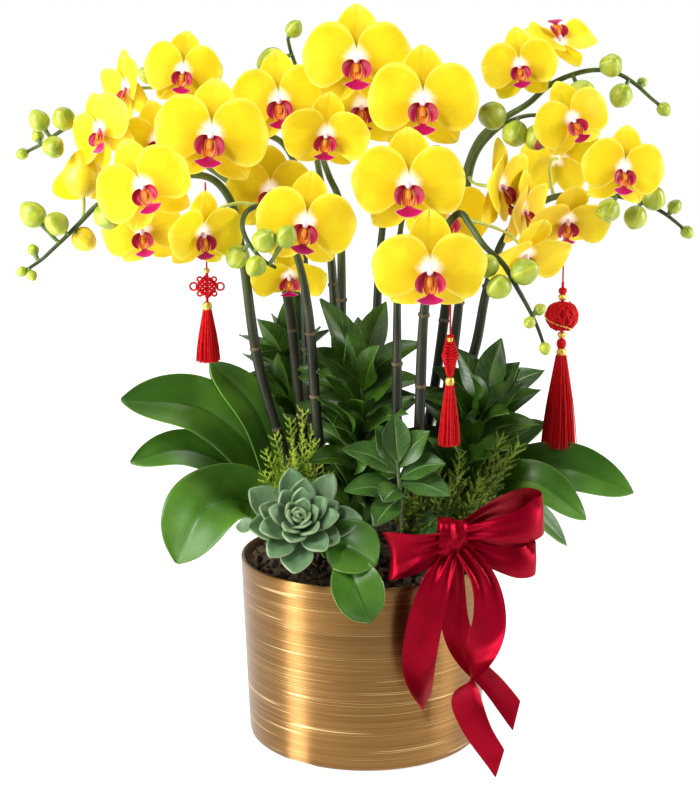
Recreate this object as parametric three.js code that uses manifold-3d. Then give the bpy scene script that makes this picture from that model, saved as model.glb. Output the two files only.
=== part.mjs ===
// Potted yellow moth orchids in a brushed gold pot, with companion plants, a satin bow and three tassels.
// Millimetres, +Z up. The origin is the middle of the pot's base, and the arrangement faces -Y.
import * as THREE from "three";
import { mergeVertices } from "three/addons/utils/BufferGeometryUtils.js";
import Module from "manifold-3d";

const wasm = await Module();
wasm.setup();

// Driving dimensions
const POT_HEIGHT = 178;
const POT_TOP_RADIUS = 120;
const POT_FOOT_RADIUS = 113;
const POT_WALL = 4;
const POT_FOOT_ROUND = 8;
const POT_FLOOR = 6;
const POT_SIDES = 32;
const MOUND_EDGE = 165;
const MOUND_TOP = 196;
const GROUND = 198; // where pegs give way to free stems, just over the mound
const SEAT = 0.3; // the gap between two pieces that touch
const HOLE_PLAY = 0.4; // the gap round a stem in its hole
const HOLE_FLOOR = 140; // where the planted ends of the stems stop
const HOLE_TOP = 238; // how high the cutters for the holes reach, clear of the mound
const PEG_LAP = 8; // how far a peg runs up inside the stem on it
const SPIKE_RADIUS = 4;
const SPIKE_TIP_RADIUS = 1.5;
const SPIKE_TAPER_FROM = 0.4; // the share of a spike's length where it starts to taper
const PEDICEL_RADIUS = 1.3;
const PEDICEL_APPROACH = 26; // how far behind a bloom its pedicel lines up with it
const PEDICEL_REACH = 34; // where a pedicel looks for its spike, behind its bloom
const HUB_RADIUS = 5;
const HUB_BACK = 5;
const PETAL_THICKNESS = 1;
const LEAF_THICKNESS = 2.2;
const RIBBON_WIDTH = 34;
const RIBBON_THICKNESS = 0.8;
const RIBBON_STEPS = 8;
const CORD_RADIUS = 0.8;
const CORD_SIDES = 8;
const CORD_STEPS = 6;
const SLIVER = 0.1; // what is thinner than this is dropped where pieces are fused

const COLOURS = {
  gold: { color: 0xb8893f, roughness: 0.35, metalness: 0.9 },
  bark: { color: 0x2e2118, roughness: 0.95, metalness: 0 },
  petal: { color: 0xf7dc12, roughness: 0.5, metalness: 0 },
  spike: { color: 0x4a5a26, roughness: 0.55, metalness: 0 },
  orchidLeaf: { color: 0x2f6b1c, roughness: 0.35, metalness: 0 },
  laurel: { color: 0x245a26, roughness: 0.35, metalness: 0 },
  sprig: { color: 0x7fa02b, roughness: 0.7, metalness: 0 },
  moss: { color: 0x4c6b22, roughness: 0.8, metalness: 0 },
  echeveria: { color: 0x7f9f83, roughness: 0.6, metalness: 0 },
  satin: { color: 0xa3072a, roughness: 0.35, metalness: 0 },
  silk: { color: 0xd40a1c, roughness: 0.5, metalness: 0 },
};

const rad = THREE.MathUtils.degToRad;
const point = (x, y, z) => new THREE.Vector3(x, y, z);
const points = (list) => list.map((p) => point(...p));

// Solids

function asSolid(geometry) {
  const bare = new THREE.BufferGeometry().setAttribute("position", geometry.getAttribute("position"));
  if (geometry.index) bare.setIndex(geometry.index);
  const merged = mergeVertices(bare, 1e-4);
  return new wasm.Manifold(
    new wasm.Mesh({
      numProp: 3,
      vertProperties: new Float32Array(merged.getAttribute("position").array),
      triVerts: new Uint32Array(merged.index.array),
    }),
  );
}

function asGeometry(solid) {
  const mesh = solid.simplify(SLIVER).getMesh();
  return new THREE.BufferGeometry()
    .setAttribute("position", new THREE.BufferAttribute(mesh.vertProperties, 3))
    .setIndex(new THREE.BufferAttribute(mesh.triVerts, 1));
}

function fuse(geometries) {
  return asGeometry(geometries.map(asSolid).reduce((whole, piece) => whole.add(piece)));
}

function cut(geometry, cutters) {
  return asGeometry(cutters.map(asSolid).reduce((rest, tool) => rest.subtract(tool), asSolid(geometry)));
}

// Joins rings of points, each running anticlockwise seen from ahead, and closes both ends.
function loft(rings) {
  const n = rings[0].length;
  const last = (rings.length - 1) * n;
  const index = [];
  for (let i = 0; i + 1 < rings.length; i++)
    for (let j = 0; j < n; j++) {
      const a = i * n + j;
      const b = i * n + ((j + 1) % n);
      index.push(a, b, b + n, a, b + n, a + n);
    }
  for (let j = 1; j + 1 < n; j++) index.push(0, j + 1, j, last, last + j, last + j + 1);
  return new THREE.BufferGeometry().setFromPoints(rings.flat()).setIndex(index);
}

// A round body along a curve: radiusAt gives its radius from the start, 0, to the end, 1.
function stalk(path, radiusAt, sides, steps) {
  const curve = path instanceof THREE.Curve ? path : new THREE.CatmullRomCurve3(path, false, "centripetal");
  const frames = curve.computeFrenetFrames(steps, false);
  const rings = [];
  for (let i = 0; i <= steps; i++) {
    const middle = curve.getPointAt(i / steps);
    const radius = radiusAt(i / steps, i);
    const ring = [];
    for (let j = 0; j < sides; j++) {
      const angle = (2 * Math.PI * j) / sides;
      ring.push(
        middle
          .clone()
          .addScaledVector(frames.normals[i], radius * Math.cos(angle))
          .addScaledVector(frames.binormals[i], radius * Math.sin(angle)),
      );
    }
    rings.push(ring);
  }
  return loft(rings);
}

// A thin sheet through a grid of points: rows run forwards, each row runs from left to right,
// and both faces are split into the same triangles.
function sheet(rows, thickness) {
  const m = rows.length;
  const n = rows[0].length;
  const normalAt = (i, j) => {
    const along = rows[Math.min(i + 1, m - 1)][j].clone().sub(rows[Math.max(i - 1, 0)][j]);
    const across = rows[i][Math.min(j + 1, n - 1)].clone().sub(rows[i][Math.max(j - 1, 0)]);
    return across.cross(along).normalize();
  };
  const shifted = (distance) =>
    rows.map((row, i) => row.map((p, j) => p.clone().addScaledVector(normalAt(i, j), distance)));
  const upper = shifted(thickness / 2);
  const lower = shifted(-thickness / 2);
  const top = (i, j) => i * n + j;
  const under = (i, j) => m * n + i * n + j;
  const index = [];
  for (let i = 0; i + 1 < m; i++) {
    for (let j = 0; j + 1 < n; j++) {
      index.push(top(i, j), top(i, j + 1), top(i + 1, j + 1), top(i, j), top(i + 1, j + 1), top(i + 1, j));
      index.push(under(i, j), under(i + 1, j + 1), under(i, j + 1));
      index.push(under(i, j), under(i + 1, j), under(i + 1, j + 1));
    }
    const r = n - 1;
    index.push(top(i, 0), top(i + 1, 0), under(i + 1, 0), top(i, 0), under(i + 1, 0), under(i, 0));
    index.push(top(i, r), under(i, r), under(i + 1, r), top(i, r), under(i + 1, r), top(i + 1, r));
  }
  for (let j = 0; j + 1 < n; j++) {
    const e = m - 1;
    index.push(top(0, j), under(0, j), under(0, j + 1), top(0, j), under(0, j + 1), top(0, j + 1));
    index.push(top(e, j), top(e, j + 1), under(e, j + 1), top(e, j), under(e, j + 1), under(e, j));
  }
  return new THREE.BufferGeometry().setFromPoints([...upper.flat(), ...lower.flat()]).setIndex(index);
}

// A leaf or tepal that runs along +Y and faces +Z. The outline holds [share of the length, half width] pairs,
// and bend is how far its tip turns down, in degrees.
function blade({ length, outline, bend, thickness }) {
  const turn = rad(bend);
  const rows = outline.map(([t, half]) => {
    const run = (length * Math.sin(turn * t)) / turn;
    const fall = (length * (1 - Math.cos(turn * t))) / turn;
    return [point(-half, run, -fall), point(half, run, -fall)];
  });
  return sheet(rows, thickness);
}

// Moves a blade so that it starts at a point and runs towards a heading, anticlockwise from +X as seen from
// above, and climbs by lift degrees.
function aim(geometry, at, heading, lift) {
  const turn = new THREE.Matrix4().makeRotationZ(rad(heading - 90));
  turn.multiply(new THREE.Matrix4().makeRotationX(rad(lift)));
  return geometry.applyMatrix4(turn.setPosition(...at));
}

// A leaf along a path. Its upper face looks as nearly as it can towards a direction, and cup raises its edges
// by that share of the half width.
function leaf(path, outline, { faces, cup, across, thickness }) {
  const curve = new THREE.CatmullRomCurve3(path, false, "centripetal");
  const rows = outline.map(([t, half]) => {
    const sideways = curve.getTangentAt(t).cross(faces).normalize();
    const upwards = sideways.clone().cross(curve.getTangentAt(t)).normalize();
    return Array.from({ length: across + 1 }, (_, j) => {
      const side = (2 * j) / across - 1;
      const edge = curve.getPointAt(t).addScaledVector(sideways, side * half);
      return edge.addScaledVector(upwards, cup * half * Math.abs(side));
    });
  });
  return sheet(rows, thickness);
}

const group = new THREE.Group();
const holes = []; // cutters for the planting holes

function add(name, geometry, colour) {
  const mesh = new THREE.Mesh(geometry, new THREE.MeshStandardMaterial(COLOURS[colour]));
  mesh.name = name;
  group.add(mesh);
  return mesh;
}

// A short upright peg that stands in a plain hole in the growing medium.
function peg(x, y, radius, top, sides = 5) {
  const post = (from, to, r) => stalk(points([[x, y, from], [x, y, to]]), () => r, sides, 1);
  holes.push(post(HOLE_FLOOR - SEAT, HOLE_TOP, radius + HOLE_PLAY));
  return post(HOLE_FLOOR, top, radius);
}

// Moth orchid blooms: widths in mm, places of the column, and which way each one faces.
// turn is to the viewer's right, tilt is upwards and roll is clockwise as the viewer sees it, in degrees.
const BLOOMS = {
  crown: { spike: "centre_left", at: [-9, -42, 642], width: 98, turn: 0, tilt: 0, roll: 0 },
  upper_centre: { spike: "centre_right", at: [48, -76, 605], width: 98, turn: 0, tilt: 0, roll: 0 },
  centre: { spike: "centre_front", at: [35, -112, 536], width: 98, turn: 0, tilt: 0, roll: 0 },
  inner_left: { spike: "left_front", at: [-53, -116, 503], width: 88, turn: 0, tilt: -4, roll: 8 },
  lowest: { spike: "front_right", at: [52, -152, 468], width: 98, turn: 0, tilt: -15, roll: 0 },
  left_upper: { spike: "upper_left", at: [-136, -76, 577], width: 100, turn: 0, tilt: 0, roll: 5 },
  left_middle: { spike: "left_low", at: [-192, -110, 534], width: 86, turn: -4, tilt: 0, roll: -25 },
  high_left: { spike: "upper_left", at: [-79, -18, 606], width: 90, turn: 0, tilt: 0, roll: -5 },
  throat_left: { spike: "centre_left", at: [-36, -66, 578], width: 78, turn: 0, tilt: -20, roll: 5 },
  nodding_left: {
    spike: "left_front", at: [-70, -50, 452], width: 70, turn: 5, tilt: -40, roll: 0,
    root: [-78, -90, 504],
  },
  side_left: {
    spike: "left_front", at: [-142, -122, 495], width: 74, turn: 35, tilt: -12, roll: 0,
    root: [-90, -96, 514], over: [-128, -98, 530], approach: 10,
  },
  top_left: { spike: "upper_left", at: [-165, -22, 632], width: 72, turn: 0, tilt: 0, roll: 5 },
  far_left_top: { spike: "upper_left", at: [-222, 38, 617], width: 76, turn: -55, tilt: 0, roll: -20 },
  far_left: { spike: "left_high", at: [-236, -50, 580], width: 76, turn: -38, tilt: 0, roll: -30 },
  behind_left: { spike: "left_high", at: [-189, -26, 571], width: 72, turn: 0, tilt: -5, roll: -10 },
  under_left: { spike: "left_low", at: [-198, -72, 493], width: 76, turn: -5, tilt: -10, roll: -10 },
  opening_left: { spike: "left_low", at: [-259, -24, 531], width: 60, turn: 200, tilt: 0, roll: 0 },
  behind_inner: { spike: "left_high", at: [-86, -46, 526], width: 82, turn: 0, tilt: 0, roll: 0 },
  high_right: { spike: "right_high", at: [135, -50, 636], width: 68, turn: -8, tilt: 0, roll: -8 },
  upturned: { spike: "right_high", at: [174, -8, 658], width: 70, turn: 24, tilt: 50, roll: 175 },
  right_upper: { spike: "right_middle", at: [178, -78, 590], width: 70, turn: 15, tilt: -5, roll: -22 },
  right_outer: { spike: "right_low", at: [221, -94, 548], width: 75, turn: 10, tilt: 0, roll: 8 },
  right_nodding: { spike: "right_low", at: [179, -54, 502], width: 78, turn: 12, tilt: -35, roll: 0 },
  right_inner: { spike: "front_right", at: [138, -90, 475], width: 84, turn: 28, tilt: -42, roll: 0 },
  behind_centre: { spike: "crown_tip", at: [-4, 18, 600], width: 86, turn: 0, tilt: 0, roll: 0 },
  behind_right: { spike: "right_low", at: [180, 30, 552], width: 84, turn: 150, tilt: 0, roll: 0 },
  behind_lower: { spike: "right_middle", at: [74, -30, 503], width: 80, turn: 0, tilt: -5, roll: 0 },
};
// Two side-on blooms that press against each other, and so are one piece.
const PAIRED_BLOOMS = [
  { spike: "right_middle", at: [117, -60, 531], width: 86, turn: 60, tilt: 0, roll: 0 },
  { spike: "right_low", at: [140, -38, 508], width: 76, turn: 60, tilt: -5, roll: 0 },
];

// Each spike's centreline from the pot to its tip, with its buds: [x, y, z, width].
const SPIKES = {
  left_high: {
    path: [
      [-46, -10, 200], [-62, -20, 330], [-72, -20, 424], [-89, -17, 484], [-104, -18, 511],
      [-124, -18, 532], [-160, -5, 556], [-198, 8, 578], [-228, 2, 587], [-254, -12, 589], [-275, -18, 580],
      [-293, -20, 568], [-309, -20, 560],
    ],
    buds: [
      [-296, -24, 588, 18], [-273, -28, 590, 20], [-279, -50, 565, 19], [-300, -12, 574, 11],
      [-313, -20, 558, 10],
    ],
  },
  left_low: {
    path: [
      [-50, -30, 200], [-92, -46, 341], [-101, -48, 382], [-110, -50, 455], [-114, -52, 482],
      [-121, -56, 517], [-137, -56, 537], [-160, -52, 541], [-194, -50, 535], [-221, -50, 525],
      [-241, -54, 514], [-255, -56, 500], [-267, -58, 488], [-280, -60, 476], [-291, -60, 466],
      [-303, -60, 458],
    ],
    buds: [
      [-298, -58, 506, 22], [-275, -70, 499, 20], [-254, -50, 483, 21], [-226, -94, 507, 23],
      [-300, -52, 474, 10], [-299, -66, 452, 9], [-309, -60, 455, 9],
    ],
  },
  upper_left: {
    path: [
      [-36, 8, 200], [-53, 2, 326], [-57, 2, 422], [-61, 5, 515], [-66, 10, 547], [-78, 15, 567],
      [-95, 18, 576], [-125, 16, 590], [-160, 12, 608], [-182, 6, 622], [-194, 0, 627],
    ],
    buds: [[-199, -2, 629, 16]],
  },
  crown_tip: {
    path: [
      [-22, 30, 200], [-26, 32, 313], [-34, 38, 467], [-48, 40, 560], [-60, 34, 611], [-65, 24, 636],
      [-70, 14, 652], [-72, 8, 662],
    ],
    buds: [[-66, 4, 670, 15], [-87, 14, 641, 24]],
  },
  left_front: {
    path: [
      [-35, -47, 200], [-46, -62, 330], [-53, -76, 429], [-64, -84, 478], [-80, -90, 506], [-93, -98, 516],
      [-104, -110, 512], [-107, -120, 501], [-103, -126, 490], [-96, -130, 480], [-88, -131, 472],
      [-78, -131, 466],
    ],
    buds: [[-87, -143, 491, 20], [-69, -143, 494, 18], [-112, -116, 474, 20], [-95, -136, 468, 17]],
  },
  centre_left: {
    path: [
      [-13, -26, 200], [-22, -30, 323], [-23, -32, 472], [-25, -34, 518], [-34, -33, 539],
      [-40, -28, 558], [-38, -14, 582], [-28, -4, 606], [-17, 0, 628], [-12, 0, 646],
    ],
    buds: [[-10, -2, 656, 12]],
  },
  centre_right: {
    path: [
      [5, 3, 200], [8, 0, 320], [14, -6, 480], [24, -14, 540], [38, -24, 575], [52, -30, 600], [62, -30, 620],
    ],
    buds: [[66, -30, 630, 13]],
  },
  centre_front: {
    path: [
      [24, -56, 200], [27, -78, 323], [27, -82, 440], [29, -78, 490], [34, -74, 515], [44, -70, 540],
      [54, -66, 554],
    ],
    buds: [[60, -64, 561, 12]],
  },
  right_high: {
    path: [
      [45, 16, 200], [68, 26, 345], [77, 30, 416], [88, 25, 513], [105, 12, 570], [127, 0, 590],
      [147, -10, 603], [165, -15, 619], [186, -20, 629], [208, -20, 633], [228, -20, 629], [243, -20, 620],
      [257, -20, 608], [266, -20, 601],
    ],
    buds: [
      [218, -34, 637, 20], [228, -30, 610, 20], [190, -50, 611, 24], [250, -12, 622, 9], [269, -20, 598, 12],
    ],
  },
  right_middle: {
    path: [
      [53, -14, 200], [78, -2, 345], [87, 0, 418], [92, -5, 515], [99, -14, 555], [112, -26, 575],
      [129, -34, 588], [146, -40, 593], [160, -44, 592], [170, -46, 588],
    ],
    buds: [[111, -48, 593, 24], [130, -66, 577, 22], [149, -68, 574, 22]],
  },
  right_low: {
    path: [
      [67, 10, 200], [97, 18, 345], [106, 20, 380], [115, 22, 430], [130, 20, 477], [150, 10, 502],
      [169, 0, 516], [187, -12, 521], [207, -28, 522], [228, -40, 521], [252, -45, 514], [268, -45, 506],
      [280, -45, 497], [286, -45, 492],
    ],
    buds: [
      [214, -66, 510, 20], [240, -56, 503, 20], [257, -52, 520, 20], [277, -45, 512, 12], [289, -45, 489, 11],
    ],
  },
  front_right: {
    path: [
      [44, -70, 200], [47, -92, 331], [50, -112, 431], [59, -114, 480], [70, -110, 503],
      [80, -108, 511], [88, -116, 501], [100, -128, 484], [115, -134, 470], [127, -134, 450],
      [138, -132, 431], [146, -130, 415], [151, -128, 402],
    ],
    buds: [
      [101, -136, 468, 19], [111, -142, 451, 20], [133, -140, 464, 22], [148, -128, 430, 10],
      [138, -138, 420, 10], [153, -128, 396, 10],
    ],
  },
};

// The turn that carries a bloom from its own frame, facing +Z with its top at +Y, to its place.
function facing({ turn, tilt, roll }) {
  const spin = (axis, degrees) => new THREE.Quaternion().setFromAxisAngle(axis, rad(degrees));
  return spin(point(0, 0, 1), turn)
    .multiply(spin(point(1, 0, 0), 90 - tilt))
    .multiply(spin(point(0, 0, 1), -roll));
}

const PETAL_OUTLINE = [[0.04, 2.6], [0.34, 22], [0.76, 25], [1, 8]];
const SEPAL_OUTLINE = [[0.04, 2.6], [0.5, 18], [1, 6]];

// The lip comes forwards and down: a throat, two side lobes, a waist and an anchor-shaped tip.
// Each section holds the place of its middle, its half width and its half thickness.
const LIP_SECTIONS = [[0, 3, 2, 2], [-3, 10, 9, 5], [-12, 13, 4, 2], [-21, 14, 10, 1.2]];

function lip() {
  const ring = ([y, z, half, thick]) =>
    Array.from({ length: 4 }, (_, j) => {
      const angle = (j * Math.PI) / 2;
      return point(half * Math.cos(angle), y + thick * Math.sin(angle) * 0.7, z + thick * Math.sin(angle));
    });
  return loft(LIP_SECTIONS.map(ring));
}

// One bloom in its own frame: two round petals in front of three sepals, with the lip at the middle.
function bloomShape(width) {
  const tepal = (angle, length, outline, height, lift, bend) =>
    aim(blade({ length, outline, bend, thickness: PETAL_THICKNESS }), [0, 0, height], angle, lift);
  const hub = new THREE.CylinderGeometry(HUB_RADIUS, HUB_RADIUS, 2 * HUB_BACK, 5).rotateX(Math.PI / 2);
  const shape = fuse([
    hub,
    tepal(90, 50, SEPAL_OUTLINE, -1.5, -4, 8),
    tepal(232, 46, SEPAL_OUTLINE, -1.5, -4, 8),
    tepal(308, 46, SEPAL_OUTLINE, -1.5, -4, 8),
    tepal(8, 50, PETAL_OUTLINE, 1.5, 6, 14),
    tepal(172, 50, PETAL_OUTLINE, 1.5, 6, 14),
    lip(),
  ]);
  const share = width / 100;
  return shape.scale(share, share, share);
}

function bloomAt(bloom) {
  const turned = new THREE.Matrix4().makeRotationFromQuaternion(facing(bloom));
  return bloomShape(bloom.width).applyMatrix4(turned.setPosition(...bloom.at));
}

// The point just behind a bloom's hub, some way back along its axis.
function behind(bloom, distance) {
  return point(0, 0, -distance).applyQuaternion(facing(bloom)).add(point(...bloom.at));
}

function spikeSteps(curve) {
  return Math.round(curve.getLength() / 40);
}

function spikeCurve(path) {
  return new THREE.CatmullRomCurve3(points(path), false, "centripetal");
}

// The place nearest to a point on the straight stretches that a spike is built from, past its lowest third.
function nearest(curve, target) {
  const joints = curve.getSpacedPoints(spikeSteps(curve));
  let best = joints.at(-1);
  for (let i = Math.floor(joints.length / 3); i + 1 < joints.length; i++) {
    const stretch = new THREE.Line3(joints[i], joints[i + 1]);
    const place = stretch.closestPointToPoint(target, true, new THREE.Vector3());
    if (place.distanceTo(target) < best.distanceTo(target)) best = place;
  }
  return best;
}

// A pedicel that leaves the spike and meets the back of a bloom square on.
function pedicel(curve, bloom) {
  const back = behind(bloom, HUB_BACK * (bloom.width / 100) + SEAT);
  const approach = behind(bloom, bloom.approach ?? PEDICEL_APPROACH);
  const root = nearest(curve, bloom.root ? point(...bloom.root) : behind(bloom, PEDICEL_REACH));
  const over = bloom.over ? point(...bloom.over) : root.clone().lerp(approach, 0.6);
  return stalk(new THREE.CubicBezierCurve3(root, over, approach, back), () => PEDICEL_RADIUS, 3, 3);
}

// A bud on its short stalk: egg-shaped, with its point away from the spike. The profile holds places along
// its axis from its middle and radii, both as shares of its width.
const BUD_PROFILE = [[-0.1, 0.54], [0.3, 0.42], [0.55, 0.08]];
const BUD_STALK_RADIUS = 1.4;
const BUD_STALK_ROOT = 2; // how deep the stalk starts in the spike
const LARGE_BUD = 14;

function bud(curve, [x, y, z, width]) {
  const middle = point(x, y, z);
  const root = nearest(curve, middle);
  const axis = middle.clone().sub(root).normalize();
  const reach = middle.distanceTo(root);
  const stations = [
    [-BUD_STALK_ROOT, BUD_STALK_RADIUS],
    [reach - width / 2, BUD_STALK_RADIUS],
    ...BUD_PROFILE.map(([along, radius]) => [reach + along * width, radius * width]),
  ];
  const sides = width > LARGE_BUD ? 5 : 3;
  const side = axis.clone().cross(point(0.3, 0.9, 0.2)).normalize();
  const rings = stations.map(([along, radius]) =>
    Array.from({ length: sides }, (_, j) => {
      const outwards = side.clone().applyAxisAngle(axis, (2 * Math.PI * j) / sides);
      return root.clone().addScaledVector(axis, along).addScaledVector(outwards, radius);
    }),
  );
  return loft(rings);
}

function spike(name, { path, buds }) {
  const curve = spikeCurve(path);
  const tapered = (t) => Math.max(0, (t - SPIKE_TAPER_FROM) / (1 - SPIKE_TAPER_FROM));
  const radiusAt = (t) => THREE.MathUtils.lerp(SPIKE_RADIUS, SPIKE_TIP_RADIUS, tapered(t));
  const carried = [...Object.values(BLOOMS), ...PAIRED_BLOOMS].filter((b) => b.spike === name);
  const [x, y] = path[0];
  const pieces = [
    peg(x, y, SPIKE_RADIUS + 0.6, GROUND + PEG_LAP),
    stalk(curve, radiusAt, 5, spikeSteps(curve)),
    ...carried.map((b) => pedicel(curve, b)),
    ...buds.map((b) => bud(curve, b)),
  ];
  add(`spike_${name}`, fuse(pieces), "spike");
}

// The pot and what fills it

function lathe(profile, sides) {
  const turned = new THREE.LatheGeometry(profile.map(([r, z]) => new THREE.Vector2(r, z)), sides);
  return turned.rotateX(Math.PI / 2);
}

function pot() {
  const bevel = POT_FOOT_ROUND * (1 - Math.SQRT1_2);
  const inner = POT_TOP_RADIUS - POT_WALL;
  const innerFoot = POT_FOOT_RADIUS - POT_WALL;
  const profile = [
    [0, 0],
    [POT_FOOT_RADIUS - POT_FOOT_ROUND, 0],
    [POT_FOOT_RADIUS - bevel, bevel],
    [POT_FOOT_RADIUS, POT_FOOT_ROUND],
    [POT_TOP_RADIUS, POT_HEIGHT],
    [inner, POT_HEIGHT],
    [innerFoot, POT_FOOT_ROUND],
    [innerFoot - POT_WALL, POT_FLOOR],
    [0, POT_FLOOR],
  ];
  add("pot", lathe(profile, POT_SIDES), "gold");
}

// The growing medium fills the pot to a low mound, and every planted stem has its hole there.
const FILL_BEVEL = 6;
const MOUND_PROFILE = [[92, POT_HEIGHT], [50, 190], [0, MOUND_TOP]];

function growingMedium() {
  const flare = (POT_TOP_RADIUS - POT_FOOT_RADIUS) / (POT_HEIGHT - POT_FOOT_ROUND);
  const fillAt = (z) => POT_FOOT_RADIUS + flare * (z - POT_FOOT_ROUND) - POT_WALL - HOLE_PLAY;
  const bottom = POT_FLOOR + SEAT;
  const profile = [
    [0, bottom],
    [fillAt(bottom) - FILL_BEVEL, bottom],
    [fillAt(bottom + FILL_BEVEL), bottom + FILL_BEVEL],
    [fillAt(MOUND_EDGE), MOUND_EDGE],
    ...MOUND_PROFILE,
  ];
  add("growing_medium", cut(lathe(profile, POT_SIDES), holes), "bark");
}

// Orchid leaves in the fan of each plant: half width, the way the upper face looks, and the places along the
// midrib after the crown.
const FANS = {
  left: {
    crown: [-80, -18],
    leaves: [
      { half: 29, faces: [0.1, -0.8, 0.6], rib: [[-98, -30, 272], [-153, -45, 328], [-224, -60, 338]] },
      { half: 21, faces: [0, -0.7, 0.7], rib: [[-104, -22, 250], [-168, -34, 286], [-218, -50, 277]] },
      { half: 36, faces: [-0.3, -0.9, 0.4], rib: [[-108, -52, 240], [-142, -104, 250], [-168, -130, 204]] },
      { half: 22, faces: [0.5, -0.8, 0.3], rib: [[-84, -26, 262], [-103, -28, 322], [-145, -30, 368]] },
      { half: 20, faces: [0.3, -0.7, 0.6], rib: [[-86, 4, 256], [-116, 14, 318], [-150, 24, 356]] },
    ],
  },
  right: {
    crown: [84, 4],
    leaves: [
      { half: 25, faces: [0, -0.75, 0.65], rib: [[120, -12, 248], [182, -30, 268], [250, -40, 246]] },
      { half: 19, faces: [0.1, -0.8, 0.6], rib: [[108, -22, 240], [152, -56, 262], [202, -70, 228]] },
      { half: 17, faces: [0.2, -0.4, 0.9], rib: [[118, 8, 222], [160, 12, 214], [196, 12, 180]] },
      { half: 18, faces: [0, -0.7, 0.7], rib: [[100, 20, 238], [140, 32, 280], [176, 34, 298]] },
    ],
  },
  front: {
    crown: [-18, -84],
    leaves: [
      { half: 17, faces: [0.1, -0.8, 0.6], rib: [[-10, -90, 222], [0, -112, 218], [5, -130, 190]] },
      { half: 18, faces: [0, -0.85, 0.5], rib: [[-20, -108, 206], [-10, -134, 186], [4, -142, 154]] },
    ],
  },
  back: {
    crown: [4, 74],
    leaves: [
      { half: 27, faces: [0.1, 0.5, 0.8], rib: [[42, 98, 250], [86, 140, 284], [130, 176, 262]] },
      { half: 27, faces: [0, 0.6, 0.8], rib: [[3, 106, 258], [-4, 160, 290], [-10, 214, 258]] },
      { half: 24, faces: [-0.2, 0.4, 0.9], rib: [[-38, 94, 236], [-84, 132, 290], [-136, 160, 278]] },
    ],
  },
};

// Outlines of leaves: [share of the length, share of the half width].
const ORCHID_LEAF_OUTLINE = [[0, 0.24], [0.09, 0.38], [0.36, 0.8], [0.76, 1], [0.92, 0.66], [1, 0.16]];
const LAUREL_OUTLINE = [[0, 0.12], [0.52, 1], [1, 0.1]];
const ECHEVERIA_OUTLINE = [[0, 0.2], [0.66, 1], [1, 0.1]];

const CROWN_RADIUS = 9;
const CROWN_DEPTH = 4; // how far below the ground line the leaves start

function orchidLeaves(name, { crown: [x, y], leaves }) {
  const pieces = leaves.map(({ half, faces, rib }) => {
    const outline = ORCHID_LEAF_OUTLINE.map(([t, share]) => [t, share * half]);
    const path = points([[x, y, GROUND - CROWN_DEPTH], ...rib]);
    return leaf(path, outline, { faces: point(...faces), cup: 0.12, across: 2, thickness: LEAF_THICKNESS });
  });
  add(`orchid_leaves_${name}`, fuse([peg(x, y, CROWN_RADIUS, GROUND, 6), ...pieces]), "orchidLeaf");
}

// Leafy companion stems: lance-shaped leaves along an upright stem, each given by how far up the stem it
// starts and the place of its tip.
const LAURELS = {
  front: {
    base: [32, -97], top: [27, -102, 292], half: 13, faces: -0.7,
    leaves: [
      [1, 24, -98, 333], [0.95, 8, -98, 322], [0.9, -22, -104, 302], [0.95, 56, -102, 318],
      [0.85, 70, -110, 290], [0.75, 14, -122, 258], [0.7, -20, -112, 266], [0.8, 74, -116, 262],
      [0.65, 6, -122, 236],
    ],
  },
  middle: {
    base: [-4, -52], top: [-4, -46, 366], half: 14, faces: -0.7,
    leaves: [
      [1, 18, -28, 424], [0.95, -18, -60, 400], [0.95, -42, -54, 430], [0.8, -62, -42, 356],
      [0.65, -30, -74, 318], [0.9, -8, 2, 405], [0.75, 28, -34, 340], [0.6, 8, -84, 300],
    ],
  },
  right: {
    base: [84, -40], top: [110, -32, 332], half: 14, faces: -0.7,
    leaves: [
      [1, 84, -30, 380], [1, 125, -26, 390], [0.95, 142, -30, 368], [0.9, 172, 30, 350], [0.8, 166, 36, 330],
      [0.8, 62, -32, 342], [0.7, 134, -44, 304], [0.9, 112, 6, 356],
    ],
  },
  back: {
    base: [-62, 40], top: [-76, 42, 360], half: 14, faces: 0.5,
    leaves: [
      [1, -104, 30, 400], [0.9, -108, 10, 366], [1, -66, 38, 430], [0.8, -122, 48, 340], [0.9, -60, 86, 392],
      [0.75, -36, 70, 350], [0.65, -110, 78, 312], [0.95, -92, 66, 400],
    ],
  },
};

const LAUREL_STEM_RADIUS = 2.6;
const LAUREL_ARCH = 0.08; // how high a leaf arches, as a share of its length
const LAUREL_TOP_LEAF = 0.97; // the share of the stem where its topmost leaves start

// A leaf from a root to its tip, raised into an arch, with its upper face towards the given side.
function leafTo(root, tip, half, faces) {
  const middle = root.clone().lerp(tip, 0.5).add(point(0, 0, root.distanceTo(tip) * LAUREL_ARCH));
  const outline = LAUREL_OUTLINE.map(([t, share]) => [t, share * half]);
  const form = { faces: point(0, faces, 0.7), cup: 0.2, across: 1, thickness: 1 };
  return leaf([root, middle, tip], outline, form);
}

function laurel(name, { base: [x, y], top, half, faces, leaves }) {
  const stem = new THREE.CatmullRomCurve3(points([[x, y, GROUND], [x, y, GROUND + 30], top]));
  const leafOn = ([share, ...tip]) => {
    const root = stem.getPointAt(share * LAUREL_TOP_LEAF);
    return leafTo(root, point(...tip), half, faces);
  };
  const pieces = [
    peg(x, y, LAUREL_STEM_RADIUS, GROUND + PEG_LAP / 2),
    stalk(stem, (t) => LAUREL_STEM_RADIUS - t, 3, 3),
    ...leaves.map(leafOn),
  ];
  add(`leafy_stem_${name}`, fuse(pieces), "laurel");
}

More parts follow.
